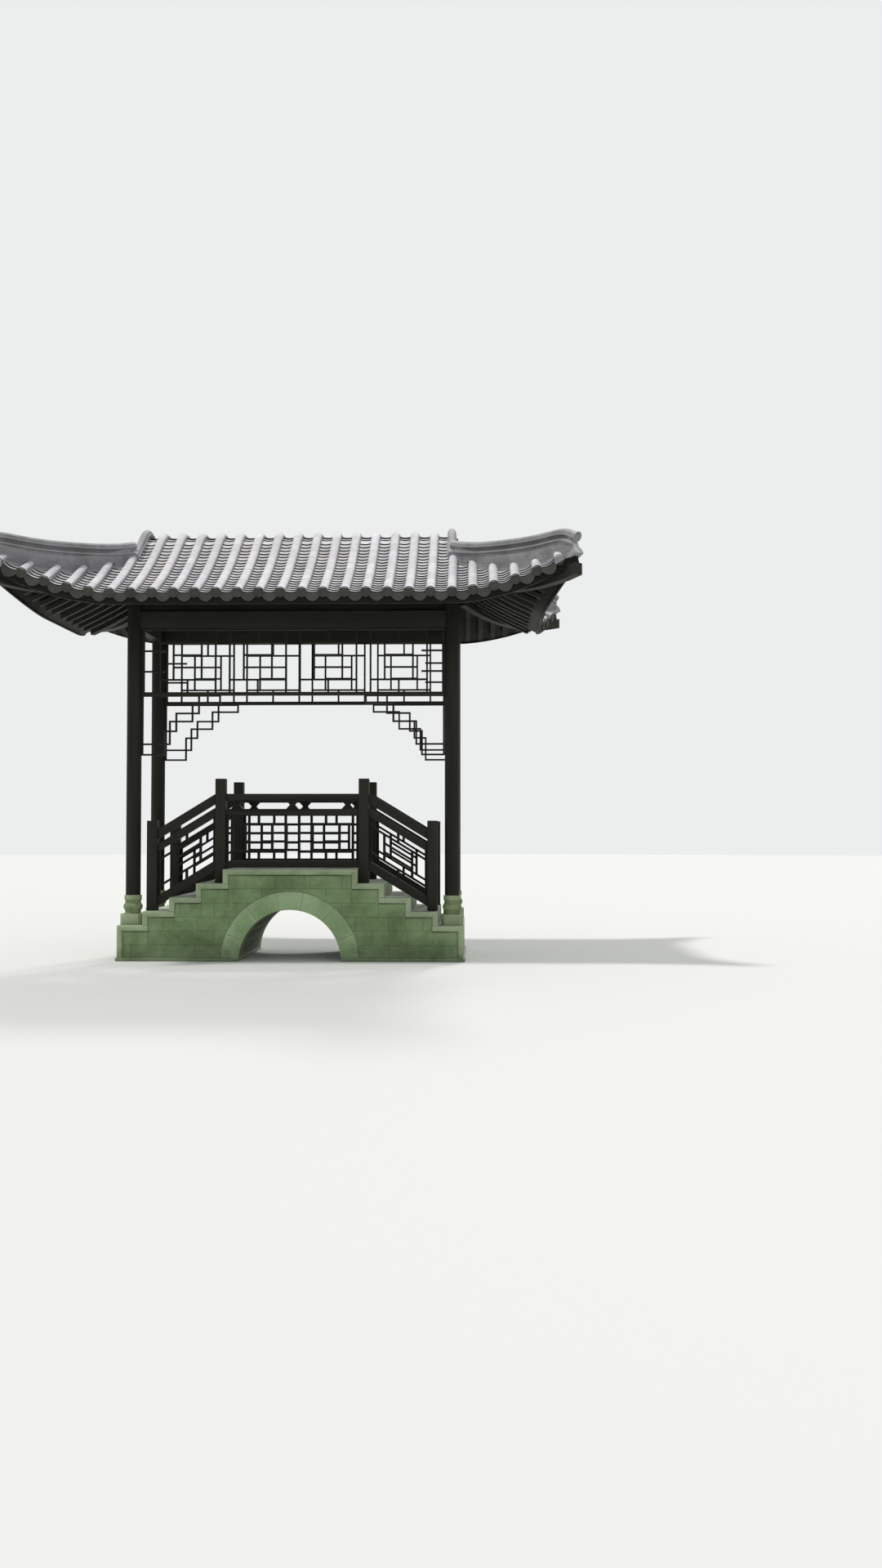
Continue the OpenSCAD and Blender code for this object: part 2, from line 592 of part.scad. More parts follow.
// Hip ridges: ridge bodies that straddle the hips and curl up past the corners
ridge_steps = 14;
hip_start = 14;
hip_end = wing + hip_nose;
bed = 2;
function hip_d(i) = hip_start + (hip_end - hip_start) * i / ridge_steps;
function side_fall(d) = let (w = ridge_w / 2 / sqrt(2))
    d > wing * wing_end ? 0 : min(0, roof_z(d - w, gable_y + d + w) - hip_z(d));
function ridge_foot(d) = hip_z(min(d, wing)) + 1.4 * max(d - wing, 0) + bed;
function ridge_top(d) = ridge_foot(d) + hip_ridge_h + hip_ridge_swell * sin(180 * d / hip_end)
    + curl_h * pow(d / hip_end, 6) - 0.9 * hip_ridge_h * pow(d / hip_end, 14);
module hip_ridge(side, end) color(tile_grey) on_hip(side, end) {
    points = [for (i = [0 : ridge_steps]) let (d = hip_d(i), s = d * sqrt(2), w = ridge_w / 2) each [
        [s, -w, ridge_foot(d) + side_fall(d)], [s, 0, ridge_foot(d)],
        [s, w, ridge_foot(d) + side_fall(d)], [s, w, ridge_top(d)], [s, -w, ridge_top(d)]]];
    faces = concat(
        [[0, 1, 2, 3, 4]],
        [for (i = [0 : ridge_steps - 1], j = [0 : 4]) let (a = i * 5 + j, b = i * 5 + (j + 1) % 5)
            each [[a, a + 5, b + 5], [a, b + 5, b]]],
        [[for (j = [4 : -1 : 0]) ridge_steps * 5 + j]]
    );
    polyhedron(points, faces, convexity = 4);
}

footing(-1);  // left_footing
footing(1);  // right_footing
abutment(-1);  // left_abutment
abutment(1);  // right_abutment
arch_barrel();
arch_ring(-1);  // front_arch_ring
arch_ring(1);  // back_arch_ring
coping(-1);  // front_coping
coping(1);  // back_coping
deck_slab();
treads(-1);  // left_treads
treads(1);  // right_treads
newels(-1);  // front_newels
newels(1);  // back_newels
deck_balustrade(-1);  // front_deck_balustrade
deck_balustrade(1);  // back_deck_balustrade
stair_balustrade(-1, -1);  // front_left_stair_balustrade
stair_balustrade(-1, 1);  // front_right_stair_balustrade
stair_balustrade(1, -1);  // back_left_stair_balustrade
stair_balustrade(1, 1);  // back_right_stair_balustrade
pedestals(-1);  // left_pedestals
pedestals(1);  // right_pedestals
column(-1, -1);  // front_left_column
column(-1, 1);  // front_right_column
column(1, -1);  // back_left_column
column(1, 1);  // back_right_column
long_eave_beam(-1);  // front_eave_beam
long_eave_beam(1);  // back_eave_beam
end_eave_beam(-1);  // left_eave_beam
end_eave_beam(1);  // right_eave_beam
lattice(-1);  // front_lattice
lattice(1);  // back_lattice
for (end = [-1, 1]) bracket(-1, end);  // front_brackets
for (end = [-1, 1]) bracket(1, end);  // back_brackets
long_purlins();
end_purlins();
ridge_purlins();
truss(-1);  // left_truss
truss(1);  // right_truss
main_rafters();
end_rafters(-1);  // left_rafters
end_rafters(1);  // right_rafters
corner_beams();
roof_crown();
long_roof(-1);  // front_roof
long_roof(1);  // back_roof
end_roof(-1);  // left_roof
end_roof(1);  // right_roof
gable(-1);  // left_gable
gable(1);  // right_gable
gable_ridge(-1);  // left_gable_ridge
gable_ridge(1);  // right_gable_ridge
hip_ridge(-1, -1);  // front_left_hip_ridge
hip_ridge(-1, 1);  // front_right_hip_ridge
hip_ridge(1, -1);  // back_left_hip_ridge
hip_ridge(1, 1);  // back_right_hip_ridge
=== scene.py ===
"""Dresses the covered moon bridge: a coursed stone body with dressed trim, dark timber frets
and beams, and a roof of clay tiles laid one by one over its curved slopes."""

import math
import random

import bpy
from mathutils import Matrix, Vector


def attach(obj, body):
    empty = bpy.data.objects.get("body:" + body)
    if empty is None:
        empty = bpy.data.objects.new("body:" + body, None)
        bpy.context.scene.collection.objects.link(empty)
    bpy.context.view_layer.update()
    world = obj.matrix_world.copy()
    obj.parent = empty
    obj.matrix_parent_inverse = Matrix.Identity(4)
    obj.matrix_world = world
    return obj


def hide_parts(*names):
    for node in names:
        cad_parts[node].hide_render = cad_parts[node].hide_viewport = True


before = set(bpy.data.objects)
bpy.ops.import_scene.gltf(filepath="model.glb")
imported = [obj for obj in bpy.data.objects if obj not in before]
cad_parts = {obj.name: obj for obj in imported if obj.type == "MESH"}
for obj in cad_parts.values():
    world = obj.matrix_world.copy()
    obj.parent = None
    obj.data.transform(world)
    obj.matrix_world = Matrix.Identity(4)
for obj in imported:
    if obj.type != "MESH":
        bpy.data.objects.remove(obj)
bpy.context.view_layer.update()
chance = random.Random(7)

# Camera

camera_data = bpy.data.cameras.new("camera")
camera_data.sensor_width = 36
camera_data.lens = 31.7
camera = bpy.data.objects.new("camera", camera_data)
bpy.context.scene.collection.objects.link(camera)
camera.location = (2.225, -17.55, 1.6)
camera.rotation_euler = (math.radians(91.86), 0, math.radians(1.36))
bpy.context.scene.camera = camera
bpy.context.scene.view_settings.view_transform = "Standard"

# Sizes of the solids that the scene's own shapes follow, in metres

FOOTING_H = 0.04
SLAB_T = 0.065
HALF_LENGTH = 2.1
DECK_Z = 1.11
DECK_END = 0.75
STEPS = 4
STEP_RISE, STEP_RUN = 0.17, 0.325

GABLE_X, GABLE_Y = 1.98, 0.68
EAVE_Y, EAVE_Z = 1.75, 4.3
PITCH, HOLLOW = 0.42, 0.112
ROLL = 0.22
CORNER_RISE, CORNER_THRUST, CORNER_POWER = 0.39, 0.33, 1.8
WING = EAVE_Y - GABLE_Y + CORNER_THRUST
SHELL_T = 0.09
QUARTER = math.radians(90)


def deck_rise(t):
    return PITCH * t + HOLLOW * t * t


def swell(d):
    """How far a corner has swung out and up, from 0 where it starts to 1 at its tip."""
    return 0.0 if d <= 0 else (d / WING) ** CORNER_POWER


def eave_out(d):
    return EAVE_Y + CORNER_THRUST * swell(d)


def roof_z(d, y):
    """Height of the roof's surface: d past the start of a corner, y out from the ridge line."""
    return EAVE_Z + deck_rise(eave_out(d) - y) + CORNER_RISE * swell(d)


ROLL_TOP = roof_z(0, ROLL) + ROLL / 2 * (PITCH + 2 * HOLLOW * (EAVE_Y - ROLL))


def crown_z(y):
    """Height of the upper roof, which is rolled over the ridge line."""
    if abs(y) >= ROLL:
        return roof_z(0, abs(y))
    return ROLL_TOP - (ROLL_TOP - roof_z(0, ROLL)) * (y / ROLL) ** 2


# Hand tools

WELD = 0.0001
FLAT = math.radians(0.6)
SHARP = math.radians(30)
SOFTENED_FROM = math.radians(32)
CHAMFER, ROUND = 1, 2
MIDDLE_TINT = 0.5


def take_up(*pieces):
    """Selects these pieces alone, the first of them active."""
    bpy.ops.object.select_all(action="DESELECT")
    for piece in pieces:
        piece.select_set(True)
    bpy.context.view_layer.objects.active = pieces[0]


def open_up(piece, wanted=None):
    """Opens a piece in edit mode with all of its faces selected, or only the wanted ones."""
    take_up(piece)
    if wanted:
        for face in piece.data.polygons:
            face.select = wanted(face)
    bpy.ops.object.mode_set(mode="EDIT")
    bpy.ops.mesh.select_mode(type="FACE")
    if not wanted:
        bpy.ops.mesh.select_all(action="SELECT")


def open_points(piece, wanted):
    """Opens a piece in edit mode with only the points at the wanted places selected."""
    take_up(piece)
    for vertex in piece.data.vertices:
        vertex.select = wanted(vertex.co)
    for part in (*piece.data.edges, *piece.data.polygons):
        part.select = False
    bpy.ops.object.mode_set(mode="EDIT")
    bpy.ops.mesh.select_mode(type="VERT")


def close_up():
    bpy.ops.object.mode_set(mode="OBJECT")


def add_modifier(piece, kind, **settings):
    """Gives a piece a modifier and applies it."""
    take_up(piece)
    modifier = piece.modifiers.new(kind.lower(), kind)
    for option, value in settings.items():
        setattr(modifier, option, value)
    bpy.ops.object.modifier_apply(modifier=modifier.name)


def soften(piece, width, segments):
    """Rounds the sharp edges of a piece."""
    add_modifier(piece, "BEVEL", width=width, segments=segments, limit_method="ANGLE",
                 angle_limit=SOFTENED_FROM)


def join(pieces):
    """Makes one piece of several, with its place in its mesh."""
    take_up(*pieces)
    if len(pieces) > 1:
        bpy.ops.object.join()
    bpy.ops.object.transform_apply(location=True, rotation=True, scale=True)
    return bpy.context.view_layer.objects.active


def drop(*pieces):
    for piece in pieces:
        bpy.data.objects.remove(piece)


def shade(piece):
    """Shades a piece smooth, but for its sharp edges."""
    take_up(piece)
    bpy.ops.object.shade_smooth_by_angle(angle=SHARP)


def write_face_values(piece, label, values):
    """Gives each face of a piece a value for its material to read."""
    attributes = piece.data.attributes
    layer = attributes.get(label) or attributes.new(label, "FLOAT", "FACE")
    layer.data.foreach_set("value", values)


def tint(piece, value):
    """Gives all faces of a piece one shade."""
    write_face_values(piece, "tint", [value] * len(piece.data.polygons))


def tint_each_stone(piece):
    """Gives each loose part of a piece a shade of its own."""
    open_up(piece)
    bpy.ops.mesh.separate(type="LOOSE")
    close_up()
    stones = list(bpy.context.selected_objects)
    for stone in stones:
        tint(stone, chance.random())
    return join(stones)


def copy_of(*nodes):
    """A merged copy of CAD solids, with flat faces made whole."""
    copies = []
    for node in nodes:
        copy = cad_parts[node].copy()
        copy.data = copy.data.copy()
        for key in list(copy.keys()):
            del copy[key]
        copy.parent = None
        bpy.context.scene.collection.objects.link(copy)
        copies.append(copy)
    piece = join(copies)
    open_up(piece)
    bpy.ops.mesh.remove_doubles(threshold=WELD / 2)
    bpy.ops.mesh.dissolve_limited(angle_limit=FLAT)
    close_up()
    return piece


def hand_over(piece, name, material, replaced=()):
    """Names a finished piece, gives it its material and places it on the bridge."""
    piece.name = piece.data.name = name
    piece.data.materials.clear()
    piece.data.materials.append(material)
    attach(piece, "root")
    if replaced:
        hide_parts(*replaced)
    return piece


def dress(name, nodes, material, edge, segments=ROUND, by_stone=False):
    """Puts a piece with softened edges in the place of CAD solids."""
    piece = copy_of(*nodes)
    soften(piece, edge, segments)
    if by_stone:
        piece = tint_each_stone(piece)
    else:
        tint(piece, MIDDLE_TINT)
    shade(piece)
    return hand_over(piece, name, material, nodes)


def paint(material, *nodes):
    """Gives a material to CAD solids that show as they are."""
    for node in nodes:
        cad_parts[node].data.materials.clear()
        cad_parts[node].data.materials.append(material)


# Shader tools


def srgb(red, green, blue):
    """An 8-bit colour as the linear one that a shader takes."""
    channels = [v / 255 for v in (red, green, blue)]
    linear = [v / 12.92 if v <= 0.04045 else ((v + 0.055) / 1.055) ** 2.4 for v in channels]
    return (*linear, 1.0)


def put(tree, kind, sockets=None, **settings):
    """Adds a shader node, sets its options, and fills its sockets with values or wires."""
    made = tree.nodes.new(kind)
    for option, value in settings.items():
        setattr(made, option, value)
    for name, value in (sockets or {}).items():
        if isinstance(value, bpy.types.NodeSocket):
            tree.links.new(value, made.inputs[name])
        else:
            made.inputs[name].default_value = value
    return made


def place_group(tree, group, **sockets):
    return put(tree, "ShaderNodeGroup", sockets, node_tree=group).outputs


def maths(tree, operation, first, second=0.0, clamp=False):
    return put(tree, "ShaderNodeMath", {0: first, 1: second}, operation=operation,
               use_clamp=clamp).outputs[0]


def blend_colours(tree, amount, below, above, kind="MIX"):
    return put(tree, "ShaderNodeMix", {0: amount, 6: below, 7: above}, data_type="RGBA",
               blend_type=kind).outputs[2]


def layer_colours(tree, colour, *layers):
    """Lays colours over one another, each by its own amount."""
    for amount, above in layers:
        colour = blend_colours(tree, amount, colour, above)
    return colour


def ramp(tree, value, low, high):
    """Stretches a value so that low becomes 0 and high becomes 1."""
    return put(tree, "ShaderNodeMapRange", {"Value": value, "From Min": low, "From Max": high},
               interpolation_type="SMOOTHSTEP").outputs["Result"]


def rescale(tree, value, low, high):
    """Turns a value from 0 to 1 into one from low to high."""
    return put(tree, "ShaderNodeMapRange",
               {"Value": value, "To Min": low, "To Max": high}).outputs["Result"]


def noise(tree, vector, scale, detail, roughness=0.5, distortion=0.0):
    return put(tree, "ShaderNodeTexNoise",
               {"Vector": vector, "Scale": scale, "Detail": detail, "Roughness": roughness,
                "Distortion": distortion}).outputs[0]


def object_place(tree):
    return put(tree, "ShaderNodeTexCoord").outputs["Object"]


def facing_up(tree):
    """How much a surface looks up, from -1 to 1."""
    normal = put(tree, "ShaderNodeNewGeometry").outputs["Normal"]
    return put(tree, "ShaderNodeSeparateXYZ", {0: normal}).outputs[2]


def read_face_values(tree, label):
    return put(tree, "ShaderNodeAttribute", attribute_name=label).outputs["Fac"]


def new_group(name, inputs, outputs):
    group = bpy.data.node_groups.new(name, "ShaderNodeTree")
    for label, kind, value in inputs:
        socket = group.interface.new_socket(name=label, in_out="INPUT", socket_type=kind)
        socket.default_value = value
    for label in outputs:
        group.interface.new_socket(name=label, in_out="OUTPUT", socket_type="NodeSocketFloat")
    given, result = group.nodes.new("NodeGroupInput"), group.nodes.new("NodeGroupOutput")
    return group, given.outputs, result.inputs


def make_mottling():
    """Cloudy stains over fine speckle, for stone and clay."""
    group, given, result = new_group(
        "mottling", [("Size", "NodeSocketFloat", 3.0)], ["Stain", "Speckle"])
    place = object_place(group)
    cloud = noise(group, place, given["Size"], 6.0, 0.62, 0.4)
    group.links.new(ramp(group, cloud, 0.32, 0.68), result["Stain"])
    fine = maths(group, "MULTIPLY", given["Size"], 34.0)
    group.links.new(noise(group, place, fine, 3.0, 0.7), result["Speckle"])
    return group


def make_growth():
    """Where moss and damp sit: low over the water, and on faces that look up."""
    group, given, result = new_group(
        "growth", [("Reach", "NodeSocketFloat", 0.4), ("Ledges", "NodeSocketFloat", 0.3)],
        ["Damp", "Moss"])
    place = object_place(group)
    height = put(group, "ShaderNodeSeparateXYZ", {0: place}).outputs[2]
    patches = noise(group, place, 5.5, 7.0, 0.65)
    wander = maths(group, "ADD", height, maths(group, "MULTIPLY", patches, -0.16))
    share = maths(group, "DIVIDE", wander, given["Reach"], clamp=True)
    damp = maths(group, "SUBTRACT", 1.0, share, clamp=True)
    group.links.new(damp, result["Damp"])
    ledge = maths(group, "MULTIPLY", ramp(group, facing_up(group), 0.35, 0.95), given["Ledges"])
    amount = maths(group, "ADD", maths(group, "MULTIPLY", damp, 0.5), ledge)
    spots = maths(group, "MULTIPLY", ramp(group, patches, 0.46, 0.66), amount, clamp=True)
    group.links.new(spots, result["Moss"])
    return group


def make_wear_and_shade():
    """Rubbed edges, and corners darkened partly by packed dirt and partly by painted shade, from how
    the surface bends.
    """
    group, given, result = new_group(
        "edge_wear_and_corner_shade", [("Amount", "NodeSocketFloat", 0.5)], ["Edge", "Corner"])
    bend = put(group, "ShaderNodeNewGeometry").outputs["Pointiness"]
    for label, low, high in (("Edge", 0.51, 0.60), ("Corner", 0.49, 0.42)):
        worn = maths(group, "MULTIPLY", ramp(group, bend, low, high), given["Amount"])
        group.links.new(worn, result[label])
    return group


def make_grain():
    """Long fibres and slow bands of stained timber, along the given vector's X."""
    group, given, result = new_group(
        "grain", [("Vector", "NodeSocketVector", (0, 0, 0))], ["Fibre", "Band"])
    stretch = put(group, "ShaderNodeMapping", {"Vector": given["Vector"], "Scale": (2.2, 46.0, 46.0)})
    group.links.new(noise(group, stretch.outputs[0], 1.0, 6.0, 0.6), result["Fibre"])
    slow = put(group, "ShaderNodeMapping", {"Vector": given["Vector"], "Scale": (0.7, 7.0, 7.0)})
    band = noise(group, slow.outputs[0], 1.0, 3.0)
    group.links.new(ramp(group, band, 0.3, 0.7), result["Band"])
    return group


MOTTLING, GROWTH, WEAR_AND_SHADE, GRAIN = make_mottling(), make_growth(), make_wear_and_shade(), make_grain()

# Materials

# The first colour is for dark joints and for painted shade under the coping and in the arch; the third
# darkens corners with dirt and painted shade.
GRIME_AND_SHADE, RUBBED_STONE, STONE_CORNER_DIRT_AND_SHADE = srgb(46, 54, 36), srgb(176, 186, 160), srgb(44, 52, 38)
WET_STONE, MOSS = srgb(50, 66, 38), srgb(70, 92, 44)
TIMBER_FIBRE, RUBBED_TIMBER = srgb(50, 49, 43), srgb(70, 68, 60)
# Timber dust that doubles as painted sheen, and a painted highlight for tops.
TIMBER_DUST_AND_SHEEN, TIMBER_TOP_HIGHLIGHT = srgb(76, 78, 68), srgb(138, 139, 132)
# The last of these is painted shade for tile faces that look down or out.
LICHEN, LEAF_STAIN, DOWN_FACE_SHADE = srgb(196, 198, 190), srgb(186, 164, 138), srgb(30, 30, 30)
# The first of these darkens the tiles' corners: packed dirt and painted shade.
CLAY_CORNER_DIRT_AND_SHADE, RUBBED_CLAY = srgb(58, 60, 54), srgb(206, 205, 208)
BOARD_DARK, BOARD_LIGHT, BOARD_SEAM = srgb(24, 22, 18), srgb(34, 31, 26), srgb(14, 12, 9)
BEDDING_DARK, BEDDING_LIGHT = srgb(74, 75, 70), srgb(104, 104, 102)
GRAIN_TURNS = {"x": (0, 0, 0), "y": (0, 0, QUARTER), "z": (0, QUARTER, 0)}
BOARDS_A_METRE = 8.0
GLOSS, DULL_GLOSS = 0.3, 0.1


def new_material(name):
    material = bpy.data.materials.new(name)
    material.use_nodes = True
    tree = material.node_tree
    return material, tree, tree.nodes["Principled BSDF"]


def wire_surface(tree, shader, colour, roughness, gloss, height, strength, distance):
    """Wires a finished surface to its shader, with a bump of the given height."""
    bump = put(tree, "ShaderNodeBump", {"Height": height, "Strength": strength, "Distance": distance})
    tree.links.new(colour, shader.inputs["Base Color"])
    tree.links.new(roughness, shader.inputs["Roughness"])
    tree.links.new(bump.outputs[0], shader.inputs["Normal"])
    shader.inputs["Specular IOR Level"].default_value = gloss


def tinted(tree, colour, spread):
    """Shifts a colour by the piece's own tint."""
    level = rescale(tree, read_face_values(tree, "tint"), 1.0 - spread, 1.0 + spread)
    return put(tree, "ShaderNodeHueSaturation", {"Color": colour, "Value": level}).outputs[0]


def stone_material(name, light, dark, size=2.6, spread=0.12, reach=0.4, ledges=0.3, wear_and_shade=0.5,
                   relief=0.5, upright=None, gloss=GLOSS):
    """Weathered stone: stains, speckle, grimy joints, painted shade under the coping and the arch,
    paler edges, corners darkened by dirt and painted shade, a damp foot and moss. Its upright
    faces may take a darker colour of their own, as painted shade."""
    material, tree, shader = new_material(name)
    mottling = place_group(tree, MOTTLING, Size=size)
    growth = place_group(tree, GROWTH, Reach=reach, Ledges=ledges)
    edges = place_group(tree, WEAR_AND_SHADE, Amount=wear_and_shade)
    colour = tinted(tree, blend_colours(tree, mottling["Stain"], dark, light), spread)
    grit = ramp(tree, mottling["Speckle"], 0.35, 0.65)
    grey = put(tree, "ShaderNodeCombineColor", {0: grit, 1: grit, 2: grit}).outputs[0]
    colour = blend_colours(tree, 0.16, colour, grey, "OVERLAY")
    # Upright faces take a darker colour, as painted shade.
    if upright:
        colour = blend_colours(tree, ramp(tree, facing_up(tree), 0.7, 0.3), colour, upright)
    # The face marks give dark joints and painted shade; the corner mask gives dirt and painted shade.
    colour = layer_colours(
        tree, colour, (read_face_values(tree, "grime_and_shade"), GRIME_AND_SHADE),
        (edges["Edge"], RUBBED_STONE), (edges["Corner"], STONE_CORNER_DIRT_AND_SHADE),
        (maths(tree, "MULTIPLY", growth["Damp"], 0.45), WET_STONE), (growth["Moss"], MOSS))
    rough = rescale(tree, growth["Damp"], 0.9, 0.5)
    height = maths(tree, "ADD", mottling["Speckle"], maths(tree, "MULTIPLY", mottling["Stain"], 0.6))
    wire_surface(tree, shader, colour, rough, gloss, height, relief, 0.006)
    return material


def timber_material(name, along, light, dark, wear_and_shade=0.25, painted_top_highlight=0.0):
    """Dark stained timber with its grain along one axis, rubbed at the edges, with dust on its ledges
    that doubles as a painted sheen, and a painted highlight on faces that look up.
    """
    material, tree, shader = new_material(name)
    turned = put(tree, "ShaderNodeMapping",
                 {"Vector": object_place(tree), "Rotation": GRAIN_TURNS[along]})
    grain = place_group(tree, GRAIN, Vector=turned.outputs[0])
    edges = place_group(tree, WEAR_AND_SHADE, Amount=wear_and_shade)
    growth = place_group(tree, GROWTH, Reach=0.05, Ledges=0.3)
    fibre = ramp(tree, grain["Fibre"], 0.35, 0.7)
    # Dust on ledges doubles as painted sheen; faces that look up get a painted highlight.
    colour = layer_colours(
        tree, blend_colours(tree, grain["Band"], dark, light),
        (maths(tree, "MULTIPLY", fibre, 0.3), TIMBER_FIBRE),
        (edges["Edge"], RUBBED_TIMBER), (growth["Moss"], TIMBER_DUST_AND_SHEEN),
        (maths(tree, "MULTIPLY", ramp(tree, facing_up(tree), 0.6, 0.8), painted_top_highlight), TIMBER_TOP_HIGHLIGHT))
    rough = rescale(tree, fibre, 0.45, 0.7)
    wire_surface(tree, shader, colour, rough, DULL_GLOSS, grain["Fibre"], 0.35, 0.003)
    return material


def tile_material(name, light, dark, spread=0.14, lichen=0.35, painted_down_shade=0.0, wear_and_shade=0.45, leaf_stain=0.0):
    """Unglazed grey clay: each tile its own tone, with pale lichen, stains of fallen leaves, rubbed
    edges, corners darkened by dirt and painted shade, and painted shade where it looks down or out."""
    material, tree, shader = new_material(name)
    mottling = place_group(tree, MOTTLING, Size=4.5)
    edges = place_group(tree, WEAR_AND_SHADE, Amount=wear_and_shade)
    litter = noise(tree, object_place(tree), 2.3, 5.0, 0.7)
    # Faces that look down or out are painted dark, as shade.
    colour = layer_colours(
        tree, tinted(tree, blend_colours(tree, mottling["Stain"], dark, light), spread),
        (maths(tree, "MULTIPLY", ramp(tree, mottling["Speckle"], 0.56, 0.68), lichen), LICHEN),
        (maths(tree, "MULTIPLY", ramp(tree, litter, 0.56, 0.7), leaf_stain), LEAF_STAIN),
        (edges["Corner"], CLAY_CORNER_DIRT_AND_SHADE), (edges["Edge"], RUBBED_CLAY),
        (maths(tree, "MULTIPLY", ramp(tree, facing_up(tree), 0.55, 0.25), painted_down_shade), DOWN_FACE_SHADE))
    rough = rescale(tree, mottling["Stain"], 0.62, 0.82)
    wire_surface(tree, shader, colour, rough, GLOSS, mottling["Speckle"], 0.3, 0.003)
    return material


def deck_material(name):
    """The roof deck: dark boards where it looks down or out, grey bedding where it looks up."""
    material, tree, shader = new_material(name)
    place = object_place(tree)
    grain = place_group(tree, GRAIN, Vector=place)
    mottling = place_group(tree, MOTTLING, Size=5.0)
    across = put(tree, "ShaderNodeSeparateXYZ", {0: place}).outputs[1]
    board = maths(tree, "FRACT", maths(tree, "MULTIPLY", across, BOARDS_A_METRE))
    seam = ramp(tree, maths(tree, "ABSOLUTE", maths(tree, "SUBTRACT", board, 0.5)), 0.44, 0.49)
    boards = blend_colours(tree, grain["Band"], BOARD_DARK, BOARD_LIGHT)
    boards = blend_colours(tree, seam, boards, BOARD_SEAM)
    bedding = blend_colours(tree, mottling["Stain"], BEDDING_DARK, BEDDING_LIGHT)
    up = ramp(tree, facing_up(tree), 0.25, 0.35)
    height = maths(tree, "ADD", grain["Fibre"], mottling["Speckle"])
    colour = blend_colours(tree, up, boards, bedding)
    rough = rescale(tree, up, 0.6, 0.9)
    wire_surface(tree, shader, colour, rough, DULL_GLOSS, height, 0.3, 0.004)
    return material


WALL = stone_material("coursed_stone", srgb(126, 149, 108), srgb(97, 118, 79),
                      spread=0.08, reach=0.3, ledges=0.2, wear_and_shade=0.35)
# Far darker than the wall's stone: painted shade under the arch.
SHADED_VAULT = stone_material("vault_stone_painted_shade", srgb(34, 38, 29), srgb(20, 24, 17),
                       spread=0.2, reach=0.5, ledges=0.1, gloss=0.05)
RING = stone_material("ring_stone", srgb(150, 176, 132), srgb(120, 148, 102),
                      size=2.0, spread=0.1, reach=0.24, ledges=0.1)
TRIM = stone_material("dressed_stone", srgb(149, 166, 131), srgb(119, 138, 102),
                      size=3.4, spread=0.09, reach=0.1, ledges=0.16, relief=0.35)
# The paving's risers are painted a darker green, as shade.
PAVING = stone_material("paving_stone", srgb(204, 208, 202), srgb(170, 176, 166),
                        size=3.0, spread=0.06, reach=0.1, ledges=0.12, relief=0.35,
                        upright=srgb(118, 132, 108))
# A high wear amount deepens the painted shade in the corners of the pedestal's mouldings.
PLINTH = stone_material("pedestal_stone", srgb(144, 158, 118), srgb(110, 126, 86),
                        size=5.0, reach=0.1, wear_and_shade=0.9)

TIMBER = {axis: timber_material("dark_timber_" + axis, axis, srgb(37, 39, 34), srgb(23, 24, 21))
          for axis in "xyz"}
# Near-black eave timber: painted shade under the hanging tiles.
SHADED_EAVES = {axis: timber_material("eave_timber_" + axis, axis, srgb(19, 20, 17), srgb(12, 13, 11),
                               wear_and_shade=0.04)
         for axis in "xy"}
# The handrail's top faces get a painted highlight.
RAIL = timber_material("handrail_timber", "x", srgb(25, 27, 23), srgb(14, 15, 13), painted_top_highlight=0.5)
DECK = deck_material("roof_deck")
TILE = tile_material("clay_tile", srgb(225, 222, 227), srgb(196, 194, 199), painted_down_shade=0.6)
PAN = tile_material("pan_tile", srgb(214, 211, 213), srgb(172, 170, 172),
                    spread=0.2, painted_down_shade=1.0, wear_and_shade=0.3, leaf_stain=0.5)
# Dark grey eave and verge tiles: dirt and painted shade.
CAP_DIRT_AND_SHADE = tile_material("eave_tile_dirt_and_shade", srgb(70, 70, 64), srgb(52, 53, 47), lichen=0.06, wear_and_shade=0.02)
RIDGE = tile_material("ridge_tile", srgb(172, 171, 175), srgb(130, 131, 131), painted_down_shade=0.4)

# Stone bridge

COURSES = [FOOTING_H] + [DECK_Z - k * STEP_RISE - SLAB_T for k in range(STEPS + 1, -1, -1)]
COURSE_ENDS = [DECK_END + STEP_RUN * k for k in range(STEPS, -1, -1)]
BLOCK = 0.39
BLOCK_START, BLOCKS_ALONG = -2.3, 13
BLOCK_WANDER = 0.03
END_CLEAR = 0.1
STEP_CLEAR = 0.12
RAISED_RIM, RAISED_BY = 0.005, 0.003
THIN_FACE = 0.006
DRIP_LINE = 0.014
COURSE_SLACK, LINE_SLACK = 0.002, 0.001
# Dark grime in the block joints; painted shade in the ring's joints, on the arch's underside and under
# the coping.
JOINT_GRIME, RING_JOINT_SHADE, ARCH_UNDERSIDE_SHADE, DRIP_SHADE = 0.18, 0.72, 0.648, 0.72
STONE_EDGE, PAVING_EDGE, RING_EDGE, VAULT_EDGE = 0.006, 0.005, 0.004, 0.003


def looks_out(face):
    """Whether a face looks to the front or the back."""
    return abs(face.normal.y) > 0.99


def wall_face(face):
    at_end = abs(face.center.x) > HALF_LENGTH - END_CLEAR
    return abs(face.normal.z) < 0.1 and (looks_out(face) or at_end)


def under_coping(face):
    """The recessed line right under the coping's level parts, which gets a painted shadow."""
    return looks_out(face) and any(
        abs(face.center.x) > inner - LINE_SLACK and top - DRIP_LINE - LINE_SLACK < face.center.z < top
        for inner, top in zip(COURSE_ENDS[1:] + [0.0], COURSES[2:]))


def body_grime_and_shade(face):
    """Painted shadow under the coping and grime in the joints, once the blocks' raised faces are
    selected.
    """
    if face.select:
        return 0.0
    if under_coping(face):
        return DRIP_SHADE
    return JOINT_GRIME if face.normal.z < 0.9 and face.area < THIN_FACE else 0.0


